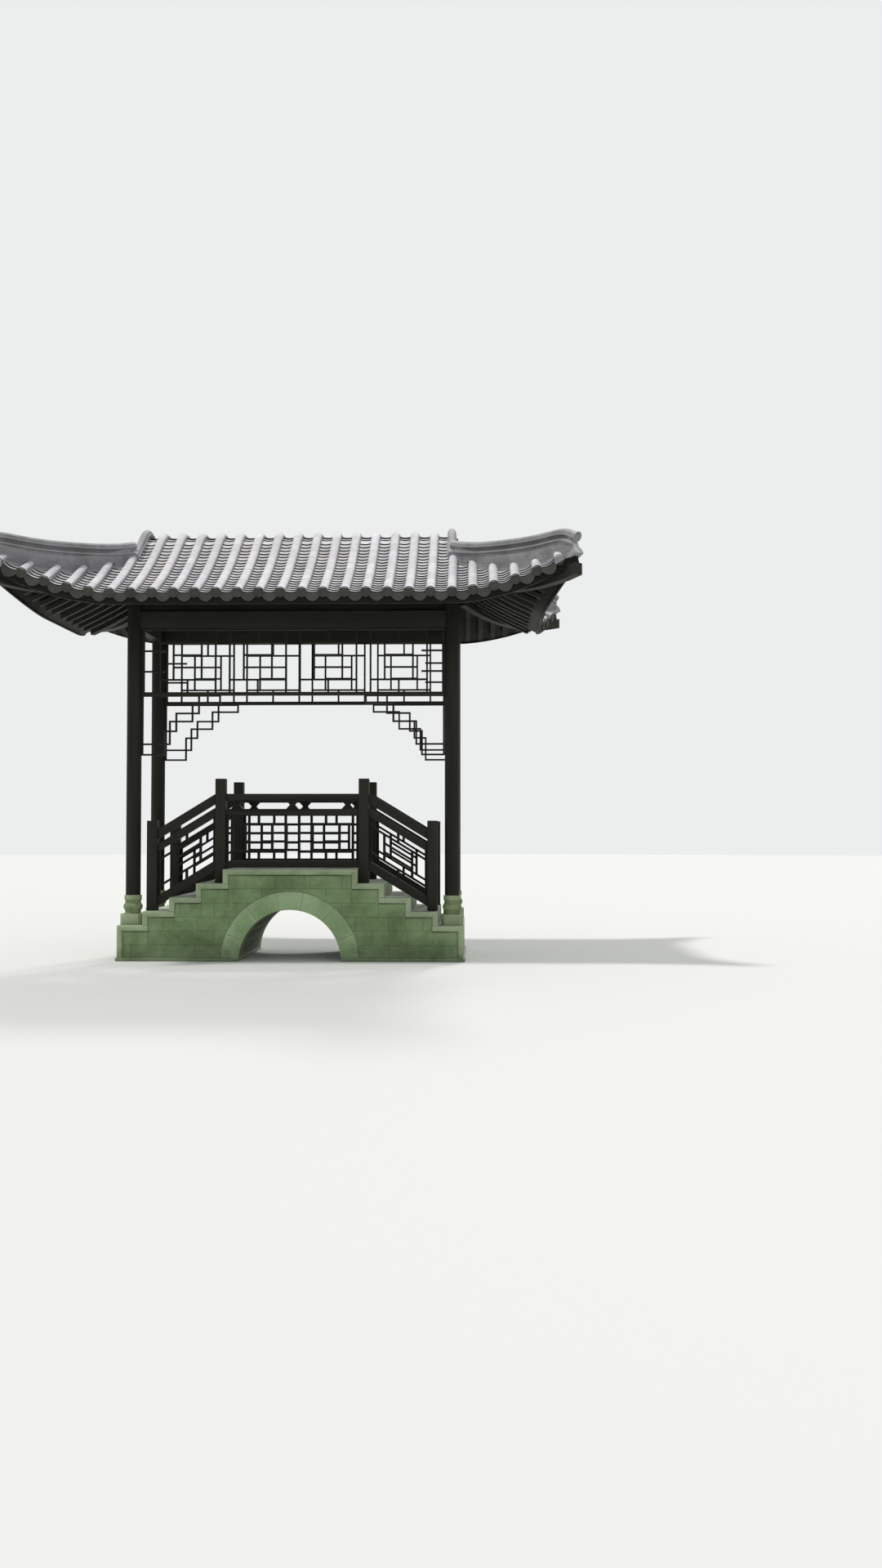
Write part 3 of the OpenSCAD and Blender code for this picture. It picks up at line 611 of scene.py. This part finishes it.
def ring_shade(face):
    """Painted shade in the joints between ring stones and on the underside of the arch."""
    if abs(face.normal.y) > 0.5:
        return 0.0
    outward = face.normal.dot(Vector((face.center.x, 0, face.center.z)).normalized())
    if abs(outward) < 0.5:
        return RING_JOINT_SHADE
    return ARCH_UNDERSIDE_SHADE if outward < 0 else 0.0


def mark_grime_and_shade(piece, amount):
    write_face_values(piece, "grime_and_shade", [amount(face) for face in piece.data.polygons])


def cut(piece, wanted, point, normal):
    """Cuts a joint line into the wanted faces."""
    open_up(piece, wanted)
    bpy.ops.mesh.bisect(plane_co=point, plane_no=normal)
    close_up()


def cut_course(body, i, low, high):
    """Cuts a course into blocks, in running bond, and cuts the line under its coping."""
    def in_course(face):
        return wall_face(face) and low - COURSE_SLACK < face.center.z < high + COURSE_SLACK

    def in_front(face):
        return in_course(face) and looks_out(face)

    def at_end(face):
        return in_course(face) and abs(face.normal.x) > 0.99

    shift = 0.5 if i % 2 else 0.0
    start = BLOCK_START + BLOCK * shift
    inner = COURSE_ENDS[i] if 0 < i <= STEPS else None
    for j in range(BLOCKS_ALONG):
        x = start + j * BLOCK + chance.uniform(-BLOCK_WANDER, BLOCK_WANDER)
        if abs(x) < HALF_LENGTH - END_CLEAR and not (inner and abs(abs(x) - inner) < STEP_CLEAR):
            cut(body, in_front, (x, 0, 0), (1, 0, 0))
    if i:
        for x in (-inner, inner) if inner else ():
            cut(body, in_front, (x, 0, 0), (1, 0, 0))
        cut(body, lambda face: in_front(face) and abs(face.center.x) > (inner or 0),
            (0, 0, high - DRIP_LINE), (0, 0, 1))
    for j in range(-2, 3):
        cut(body, at_end, (0, (j + shift) * BLOCK, 0), (0, 1, 0))


def build_stone_body():
    """The body as courses of blocks, each block's face raised a little from its joints."""
    body = copy_of("left_abutment", "right_abutment")
    open_up(body, lambda face: abs(face.center.x) < 0.001 and abs(face.normal.x) > 0.9)
    bpy.ops.mesh.delete(type="FACE")
    bpy.ops.mesh.select_all(action="SELECT")
    bpy.ops.mesh.remove_doubles(threshold=WELD)
    bpy.ops.mesh.dissolve_limited(angle_limit=FLAT)
    close_up()
    for height in COURSES[1:-1]:
        cut(body, wall_face, (0, 0, height), (0, 0, 1))
    for i, (low, high) in enumerate(zip(COURSES, COURSES[1:])):
        cut_course(body, i, low, high)
    write_face_values(body, "tint", [chance.random() for _ in body.data.polygons])
    open_up(body, lambda face: wall_face(face) and not under_coping(face))
    bpy.ops.mesh.inset(thickness=RAISED_RIM, depth=RAISED_BY, use_individual=True)
    close_up()
    mark_grime_and_shade(body, body_grime_and_shade)
    hand_over(body, "stone_body", WALL, ("left_abutment", "right_abutment"))


build_stone_body()
dress("footing_course", ("left_footing", "right_footing"), WALL, STONE_EDGE)
dress("vault_courses", ("arch_barrel",), SHADED_VAULT, VAULT_EDGE, CHAMFER, by_stone=True)
for side in ("front", "back"):
    ring = dress(side + "_ring_stones", (side + "_arch_ring",), RING, RING_EDGE,
                 by_stone=True)
    mark_grime_and_shade(ring, ring_shade)
    dress(side + "_coping_stones", (side + "_coping",), TRIM, STONE_EDGE,
          by_stone=True)
dress("deck_paving", ("deck_slab",), PAVING, PAVING_EDGE)
for end in ("left", "right"):
    dress(end + "_steps", (end + "_treads",), PAVING, PAVING_EDGE, by_stone=True)
    dress(end + "_pedestal_stones", (end + "_pedestals",), PLINTH, STONE_EDGE, by_stone=True)

# Timber

FRET_FOOT_DEEPER = 0.012
NEWEL_EDGE, BEAM_EDGE, POLE_EDGE = 0.007, 0.006, 0.008
POST_EDGE, RAIL_EDGE, FRET_EDGE = 0.004, 0.003, 0.002


def deepen_foot(piece):
    """Moves the underside of a hanging fret's bottom rail down."""
    foot = min(vertex.co.z for vertex in piece.data.vertices)
    open_up(piece, lambda face: face.normal.z < -0.9 and face.center.z < foot + 0.004)
    bpy.ops.transform.translate(value=(0, 0, -FRET_FOOT_DEEPER))
    close_up()


for side in ("front", "back"):
    dress(side + "_newel_posts", (side + "_newels",), TIMBER["z"], NEWEL_EDGE)
    dress(side + "_deck_fret", (side + "_deck_balustrade",), RAIL, RAIL_EDGE, CHAMFER)
    for end in ("left", "right"):
        corner = f"{side}_{end}"
        dress(corner + "_stair_fret", (corner + "_stair_balustrade",), RAIL, RAIL_EDGE,
              CHAMFER)
        dress(corner + "_post", (corner + "_column",), TIMBER["z"], POST_EDGE)
    dress(side + "_beam", (side + "_eave_beam",), TIMBER["x"], BEAM_EDGE)
    hanging = dress(side + "_hanging_fret", (side + "_lattice",), TIMBER["x"],
                    FRET_EDGE, CHAMFER)
    deepen_foot(hanging)
    dress(side + "_bracket_frets", (side + "_brackets",), TIMBER["x"], FRET_EDGE, CHAMFER)
for end in ("left", "right"):
    dress(end + "_beam", (end + "_eave_beam",), TIMBER["y"], BEAM_EDGE)
    dress(end + "_roof_truss", (end + "_truss",), TIMBER["y"], BEAM_EDGE)
    dress(end + "_gable_boards", (end + "_gable",), TIMBER["z"], POST_EDGE, CHAMFER)
dress("long_purlin_poles", ("long_purlins",), TIMBER["x"], POLE_EDGE)
dress("end_purlin_poles", ("end_purlins",), TIMBER["y"], POLE_EDGE)
paint(TIMBER["x"], "ridge_purlins", "left_rafters", "right_rafters", "corner_beams")
paint(TIMBER["y"], "main_rafters")
paint(DECK, "roof_crown", "front_roof", "back_roof", "left_roof", "right_roof")

# Roof tiles

# LIFT is how far a tile is lifted off the slope, OUT how far past the eave a row starts, and STOP
# how far from its upper end the tiles stop.
ROW = 0.247
COVER_R, COVER_L = 0.059, 0.2
COVER_TAPER, COVER_LAP, COVER_SKIRT = 0.975, 0.012, 0.016
COVER_LIFT, TOP_COVER_LIFT = 0.046, 0.043
COVER_OUT, COVER_STOP, TOP_COVER_STOP = 0.05, 0.06, 0.08
SHORTEST_COVER_ROW, SHORTEST_PAN_ROW = 0.1, 0.08
CAP_R, CAP_T, CAP_TILT = 0.061, 0.02, math.radians(-8)
CAP_RINGS = ((0.009, -0.005), (0.018, 0.0), (0.008, 0.005))
PAN_R, PAN_L, PAN_T = 0.22, 0.13, 0.016
PAN_SAG, PAN_STEP = 0.024, 0.095
PAN_LIFT, PAN_TILT = 0.016, math.radians(-9)
PAN_OUT, PAN_STOP = 0.04, 0.02
DRIP_W, DRIP_T, DRIP_COLUMNS = 0.185, 0.012, 8
DRIP_BACK, DRIP_SIDE, DRIP_TONGUE = 0.02, 0.028, 0.047
DRIP_LIFT, DRIP_TILT, DRIP_OUT = 0.022, math.radians(-14), 0.004
CREST_W = 0.1
TIP_CLEAR = 0.16


def pan_sag(x):
    """How much higher a pan tile is at x from its middle."""
    return PAN_R - math.sqrt(PAN_R ** 2 - x ** 2)


def model_cover_tile():
    """A half-round cover tile that widens towards its lower end."""
    bpy.ops.mesh.primitive_cone_add(vertices=16, radius1=COVER_R, radius2=COVER_R * COVER_TAPER,
                                    depth=COVER_L + COVER_LAP, rotation=(-QUARTER, 0, 0))
    tile = join([bpy.context.object])
    open_up(tile)
    bpy.ops.mesh.bisect(plane_co=(0, 0, -COVER_SKIRT), plane_no=(0, 0, 1), clear_inner=True,
                        use_fill=True)
    close_up()
    shade(tile)
    return tile


def model_pan_tile():
    """A shallow concave tile between two rows of cover tiles."""
    bpy.ops.mesh.primitive_cylinder_add(vertices=56, radius=PAN_R, depth=PAN_L, end_fill_type="NOTHING",
                                        location=(0, 0, PAN_R), rotation=(-QUARTER, 0, 0))
    tile = join([bpy.context.object])
    open_up(tile)
    bpy.ops.mesh.bisect(plane_co=(0, 0, PAN_SAG), plane_no=(0, 0, 1), clear_outer=True)
    close_up()
    add_modifier(tile, "SOLIDIFY", thickness=PAN_T)
    shade(tile)
    return tile


def model_cap_tile():
    """The round face, with a raised boss and rim, that closes a row of cover tiles at the eave."""
    bpy.ops.mesh.primitive_cylinder_add(vertices=20, radius=CAP_R, depth=CAP_T,
                                        rotation=(-QUARTER, 0, 0))
    tile = join([bpy.context.object])
    open_up(tile, lambda face: face.normal.y < -0.9)
    for thickness, depth in CAP_RINGS:
        bpy.ops.mesh.inset(thickness=thickness, depth=depth)
    close_up()
    shade(tile)
    return tile


def model_drip_tile():
    """The tongue that hangs from the lowest pan tile."""
    bpy.ops.mesh.primitive_grid_add(x_subdivisions=DRIP_COLUMNS, y_subdivisions=1, size=1,
                                    rotation=(QUARTER, 0, 0))
    tile = bpy.context.object
    tile.scale = (DRIP_W, DRIP_BACK, 1)
    tile = join([tile])
    for column in range(DRIP_COLUMNS + 1):
        x = DRIP_W * (column / DRIP_COLUMNS - 0.5)
        tongue = DRIP_SIDE + DRIP_TONGUE * max(0.0, math.cos(math.pi * x / DRIP_W)) ** 0.8
        for lower, drop_by in ((False, 0), (True, tongue)):
            open_points(tile, lambda place: abs(place.x - x) < 0.001 and (place.z < 0) == lower)
            bpy.ops.transform.translate(value=(0, 0, pan_sag(x) - drop_by))
            close_up()
    add_modifier(tile, "SOLIDIFY", thickness=DRIP_T, offset=0)
    shade(tile)
    return tile


COVER_TILE, PAN_TILE = model_cover_tile(), model_pan_tile()
CAP_TILE, DRIP_TILE = model_cap_tile(), model_drip_tile()


class Slope:
    """One slope of the roof: places along its eave and out from the ridge line."""

    def __init__(self, name, half, shift, turn, crown):
        self.name, self.half, self.shift, self.crown = name, half, shift, crown
        self.turn = Matrix.Rotation(math.radians(turn), 4, "Z")

    def height(self, along, out):
        d = abs(along) - self.half
        return crown_z(out) if self.crown and d <= 0 else roof_z(d, out)

    def point(self, along, out):
        return Vector((along, -out - self.shift, self.height(along, out)))

    def seat(self, along, out, lift=0.0, tilt=0.0):
        """Turns and moves a tile so that it lies on the slope, its upper end uphill."""
        step = 0.004
        here = self.point(along, out)
        uphill = (self.point(along, out - step) - here).normalized()
        aside = self.point(along + step, out) - self.point(along - step, out)
        normal = aside.cross(uphill).normalized()
        across = uphill.cross(normal)
        matrix = Matrix((across, uphill, normal)).transposed().to_4x4()
        matrix.translation = here + normal * lift
        return self.turn @ matrix @ Matrix.Rotation(tilt, 4, "X")

    def stations(self, along, first, last, spacing):
        """Places at equal distances up the slope, from the eave to the last point."""
        step = 0.01
        places, out = [first], first
        while True:
            rise = self.height(along, out - step) - self.height(along, out)
            out -= spacing * step / math.hypot(step, rise)
            if out < last:
                return places
            places.append(out)

    def inner(self, along):
        """How near the ridge line a row of tiles ends: at the roll, the gable's foot or the hip."""
        if self.crown and abs(along) < self.half - CREST_W:
            return ROLL
        return GABLE_Y + max(abs(along) - self.half, 0.0)

    def span(self, along, past):
        """Where a row of tiles starts, past the eave, and where it ends."""
        return eave_out(abs(along) - self.half) + past, self.inner(along)


def lay(tile, matrix, store):
    """Lays one copy of a tile, with a shade of its own."""
    copy = tile.copy()
    copy.data = tile.data.copy()
    bpy.context.scene.collection.objects.link(copy)
    copy.matrix_world = matrix
    tint(copy, chance.random())
    store.append(copy)


def tile_slope(slope):
    """Covers a slope with rows of cover tiles, each with its cap, and rows of pans between them."""
    covers, pans, caps, drips = [], [], [], []
    rows = int((slope.half + WING - TIP_CLEAR) / ROW)
    for i in range(-rows, rows + 1):
        along = i * ROW
        first, last = slope.span(along, COVER_OUT)
        if first - last > SHORTEST_COVER_ROW:
            for out in slope.stations(along, first - COVER_L / 2, last + COVER_STOP, COVER_L):
                lay(COVER_TILE, slope.seat(along, out, COVER_LIFT), covers)
            lay(COVER_TILE, slope.seat(along, last + TOP_COVER_STOP, TOP_COVER_LIFT), covers)
            lay(CAP_TILE, slope.seat(along, first, COVER_LIFT, CAP_TILT), caps)
    for i in range(-rows - 1, rows + 1):
        along = (i + 0.5) * ROW
        first, last = slope.span(along, PAN_OUT)
        if first - last > SHORTEST_PAN_ROW:
            for out in slope.stations(along, first - PAN_L / 2, last + PAN_STOP, PAN_STEP):
                lay(PAN_TILE, slope.seat(along, out, PAN_LIFT, PAN_TILT), pans)
            lay(DRIP_TILE, slope.seat(along, first + DRIP_OUT, DRIP_LIFT, DRIP_TILT), drips)
    for store, label, material in ((covers, "cover_tiles", TILE), (pans, "pan_tiles", PAN),
                                   (caps, "eave_caps", CAP_DIRT_AND_SHADE), (drips, "drip_tiles", CAP_DIRT_AND_SHADE)):
        hand_over(join(store), f"{slope.name}_{label}", material)


SLOPES = [
    Slope("front", GABLE_X, 0, 0, True),
    Slope("back", GABLE_X, 0, 180, True),
    Slope("left", GABLE_Y, GABLE_X - GABLE_Y, -90, False),
    Slope("right", GABLE_Y, GABLE_X - GABLE_Y, 90, False),
]
for slope in SLOPES:
    tile_slope(slope)

# Ridges and eave boards


def sweep(path, section):
    """Runs a closed section, given as (side, up) points, along a path and keeps it upright."""
    profile = bpy.data.curves.new("section", "CURVE")
    outline = profile.splines.new("POLY")
    outline.points.add(len(section) - 1)
    for point, (side, up) in zip(outline.points, section):
        point.co = (side, up, 0, 1)
    outline.use_cyclic_u = True
    profile_object = bpy.data.objects.new("section", profile)
    bpy.context.scene.collection.objects.link(profile_object)
    run = bpy.data.curves.new("run", "CURVE")
    run.dimensions = "3D"
    run.twist_mode = "Z_UP"
    run.bevel_mode = "OBJECT"
    run.bevel_object = profile_object
    run.use_fill_caps = True
    line = run.splines.new("POLY")
    line.points.add(len(path) - 1)
    for point, place in zip(line.points, path):
        point.co = (*place, 1)
    piece = bpy.data.objects.new("run", run)
    bpy.context.scene.collection.objects.link(piece)
    take_up(piece)
    bpy.ops.object.convert(target="MESH")
    piece = bpy.context.object
    drop(profile_object)
    open_up(piece)
    bpy.ops.mesh.remove_doubles(threshold=WELD)
    bpy.ops.mesh.normals_make_consistent(inside=False)
    close_up()
    tint(piece, MIDDLE_TINT)
    shade(piece)
    return piece


def half_round(radius, up):
    steps = 8
    return [(radius * math.cos(math.pi * i / steps), up + radius * math.sin(math.pi * i / steps))
            for i in range(steps + 1)]


def mirrored(levels, crown):
    """A moulded section: half widths at their heights, with the crown's points over the top."""
    return [*levels, *crown, *((-width, up) for width, up in reversed(levels))]


def board_section(half_width, low, high):
    return [(-half_width, low), (half_width, low), (half_width, high), (-half_width, high)]


HIP_NOSE = 0.025
HIP_STEPS = 28
HIP_END = WING + HIP_NOSE
HIP_RIDGE_H = 0.27
HIP_SWELL, HIP_CURL, NOSE_CUT = 0.11, 0.18, 0.9
NOSE_PITCH = 1.4
HIP_TOP_R = 0.052
HIP_FOOT = mirrored([(0.07, -0.03), (0.07, 0.03), (0.056, 0.034), (0.056, 0.055), (0.042, 0.06),
                     (0.042, 0.2)], ())
HIP_TOP = mirrored([(0.039, -0.24), (0.039, -0.15), (0.062, -0.146), (0.062, -0.126),
                    (0.038, -0.12), (0.038, -0.08), (0.06, -0.076), (0.06, -0.054)],
                   half_round(HIP_TOP_R, -HIP_TOP_R))
GABLE_CREST = mirrored([(0.06, -0.02), (0.06, 0.02), (0.038, 0.026), (0.038, 0.07), (0.055, 0.075),
                        (0.055, 0.095)], half_round(0.045, 0.1))
FOOT_ROLL = mirrored([(0.06, -0.03), (0.06, 0.03), (0.045, 0.035), (0.045, 0.06)],
                     half_round(0.045, 0.062))
EAVE_BOARD = board_section(0.013, -0.058, 0.05)
VERGE_BOARD = board_section(0.014, -0.15, 0.0)
EAVE_BOARD_OUT = 0.012

RIDGE_COVER_L, RIDGE_COVER_UP = 0.18, 0.042
RIDGE_PAN_L, RIDGE_PAN_T, RIDGE_PAN_UP = 0.065, 0.014, 0.018
RIDGE_PAN_HALF = 0.1

CREST_INSET = 0.03
VERGE_OUT, VERGE_SHORT, VERGE_DOWN = 0.014, 0.01, 0.012
VERGE_TILE_OUT = 0.038
VERGE_CAP_DOWN, VERGE_DRIP_DOWN = 0.045, 0.06
VERGE_TILES, VERGE_END_CLEAR = 8, 0.05
FOOT_ROLL_OUT, FOOT_ROLL_DOWN, FOOT_ROLL_PAST = 0.07, 0.02, 0.03


def hip_foot(d):
    return roof_z(min(d, WING), GABLE_Y + min(d, WING)) + NOSE_PITCH * max(d - WING, 0)


def hip_height(d):
    """Height of a hip's crest over its foot: fuller midway, curled up and cut back at its end."""
    t = d / HIP_END
    curl = HIP_CURL * t ** 6 - NOSE_CUT * HIP_RIDGE_H * t ** 14
    return HIP_RIDGE_H + HIP_SWELL * math.sin(math.pi * t) + curl


def round_end(path, lift):
    """A round face that closes a crest at the end of its path."""
    here, before = Vector(path[-1]), Vector(path[-2])
    outward = (here - before).normalized()
    aside = outward.cross(Vector((0, 0, 1))).normalized()
    upward = aside.cross(outward)
    matrix = Matrix((-aside, -outward, upward)).transposed().to_4x4()
    matrix.translation = here + upward * lift
    ends = []
    lay(CAP_TILE, matrix, ends)
    return ends[0]


def build_hip_crest(side, sy, end, sx):
    """A moulded hip crest that swells midway, curls up at its end and has a round nose."""
    steps = [HIP_END * i / HIP_STEPS for i in range(HIP_STEPS + 1)]
    foot = [(sx * (GABLE_X + d), sy * (GABLE_Y + d), hip_foot(d)) for d in steps]
    top = [(x, y, z + hip_height(d)) for d, (x, y, z) in zip(steps, foot)]
    crest = join([sweep(foot, HIP_FOOT), sweep(top, HIP_TOP), round_end(top, -HIP_TOP_R)])
    hand_over(crest, f"{side}_{end}_hip_crest", RIDGE, (f"{side}_{end}_hip_ridge",))


def crown_path(x, reach, lift=0.0):
    """A line over the upper roof, from front to back."""
    steps = 20
    places = [reach * i / steps for i in range(-steps, steps + 1)]
    return [(x, y, crown_z(y) + lift) for y in places]


def build_rolled_ridge():
    """The bent tiles that carry each row over the ridge, where the roof has no ridge beam."""
    sag = pan_sag(RIDGE_PAN_HALF)
    dish = [(RIDGE_PAN_HALF * i / 4, RIDGE_PAN_UP + sag * (i / 4) ** 2) for i in range(-4, 5)]
    dish += [(side, up - RIDGE_PAN_T) for side, up in reversed(dish)]
    covers, pans = [], []
    rows = int((GABLE_X - CREST_W) / ROW)
    for i in range(-rows, rows + 1):
        for k in range(-1, 2):
            bend = [RIDGE_COVER_L * (k - 0.5 + j / 5) for j in range(6)]
            cover = sweep([(i * ROW, y, crown_z(y)) for y in bend],
                          half_round(COVER_R, RIDGE_COVER_UP))
            tint(cover, chance.random())
            covers.append(cover)
    for i in range(-rows - 1, rows + 1):
        x = (i + 0.5) * ROW
        for k in range(-4, 4):
            bend = [RIDGE_PAN_L * (k + j / 3) for j in range(4)]
            lift = [RIDGE_PAN_T * (abs(y) / RIDGE_PAN_L - min(abs(k), abs(k + 1))) for y in bend]
            pan = sweep([(x, y, crown_z(y) + up) for y, up in zip(bend, lift)], dish)
            tint(pan, chance.random())
            pans.append(pan)
    hand_over(join(covers), "ridge_cover_tiles", TILE)
    hand_over(join(pans), "ridge_pan_tiles", PAN)


def build_gable_trim(end, sx):
    """The crest, boards and hanging tiles along a gable, and the low roll at its foot."""
    crest = sweep(crown_path(sx * (GABLE_X - CREST_INSET), GABLE_Y), GABLE_CREST)
    hand_over(crest, end + "_gable_crest", RIDGE, (end + "_gable_ridge",))
    verge = crown_path(sx * (GABLE_X + VERGE_OUT), GABLE_Y - VERGE_SHORT, -VERGE_DOWN)
    board = sweep(verge, VERGE_BOARD)
    hand_over(board, end + "_verge_boards", TIMBER["y"])
    reach = GABLE_Y + FOOT_ROLL_PAST
    roll = sweep([(sx * (GABLE_X + FOOT_ROLL_OUT), y, roof_z(0, GABLE_Y) - FOOT_ROLL_DOWN)
                  for y in (-reach, reach)], FOOT_ROLL)
    hand_over(roll, end + "_foot_roll", RIDGE)
    tiles, step = [], 0.01
    outward = Matrix.Rotation(sx * QUARTER, 4, "Z")
    for k in range(-VERGE_TILES, VERGE_TILES + 1):
        y = k * (GABLE_Y - VERGE_END_CLEAR) / VERGE_TILES
        fall = math.atan2(crown_z(y + step) - crown_z(y - step), 2 * step)
        tile, down = (CAP_TILE, VERGE_CAP_DOWN) if k % 2 else (DRIP_TILE, VERGE_DRIP_DOWN)
        matrix = outward @ Matrix.Rotation(-sx * fall, 4, "Y")
        matrix.translation = (sx * (GABLE_X + VERGE_TILE_OUT), y, crown_z(y) - down)
        lay(tile, matrix, tiles)
    hand_over(join(tiles), end + "_verge_tiles", CAP_DIRT_AND_SHADE)


def build_eave_board(slope):
    """The board that closes the roof deck along its eave, under the hanging tiles."""
    steps = 48
    reach = slope.half + WING
    path = []
    for i in range(steps + 1):
        along = reach * (2 * i / steps - 1)
        out = eave_out(abs(along) - slope.half) + EAVE_BOARD_OUT
        place = slope.point(along, out) - Vector((0, 0, SHELL_T / 2))
        path.append(tuple(slope.turn @ place))
    grain = "x" if slope.crown else "y"
    hand_over(sweep(path, EAVE_BOARD), slope.name + "_eave_board", SHADED_EAVES[grain])


for side, sy in (("front", -1), ("back", 1)):
    for end, sx in (("left", -1), ("right", 1)):
        build_hip_crest(side, sy, end, sx)
for end, sx in (("left", -1), ("right", 1)):
    build_gable_trim(end, sx)
for slope in SLOPES:
    build_eave_board(slope)
build_rolled_ridge()
drop(COVER_TILE, PAN_TILE, CAP_TILE, DRIP_TILE)

# Floor and light

bpy.ops.mesh.primitive_circle_add(vertices=96, radius=70, fill_type="NGON", location=(0, 0, -0.002))
floor = bpy.context.object
floor.name = "floor"
floor_paint, _, floor_shader = new_material("floor_paint")
floor_shader.inputs["Base Color"].default_value = srgb(214, 215, 212)
floor_shader.inputs["Roughness"].default_value = 0.9
floor.data.materials.append(floor_paint)

world = bpy.data.worlds.new("studio")
bpy.context.scene.world = world
world.use_nodes = True
sky = world.node_tree
sky.nodes.clear()
path_seen = put(sky, "ShaderNodeLightPath")
seen = maths(sky, "MAXIMUM", path_seen.outputs["Is Camera Ray"], path_seen.outputs["Is Glossy Ray"])
soft = put(sky, "ShaderNodeBackground", {"Color": (0.95, 0.98, 1.0, 1.0), "Strength": 0.5})
pale = put(sky, "ShaderNodeBackground", {"Color": srgb(236, 238, 238), "Strength": 1.0})
both = put(sky, "ShaderNodeMixShader", {0: seen, 1: soft.outputs[0], 2: pale.outputs[0]})
put(sky, "ShaderNodeOutputWorld", {0: both.outputs[0]})


def lamp(name, strength, angle, direction, colour=(1.0, 1.0, 1.0)):
    """A distant lamp that shines from the given direction."""
    data = bpy.data.lights.new(name, "SUN")
    data.energy = strength
    data.angle = math.radians(angle)
    data.color = colour
    made = bpy.data.objects.new(name, data)
    bpy.context.scene.collection.objects.link(made)
    made.rotation_euler = (-Vector(direction)).to_track_quat("-Z", "Y").to_euler()


SUNLIGHT = (1.0, 0.98, 0.95)
lamp("key", 1.9, 5, (-0.45, -0.18, 1.0), SUNLIGHT)
lamp("back", 1.2, 10, (0.3, 1.0, 0.9), SUNLIGHT)
lamp("fill", 0.3, 40, (0.5, -1.0, 0.35))
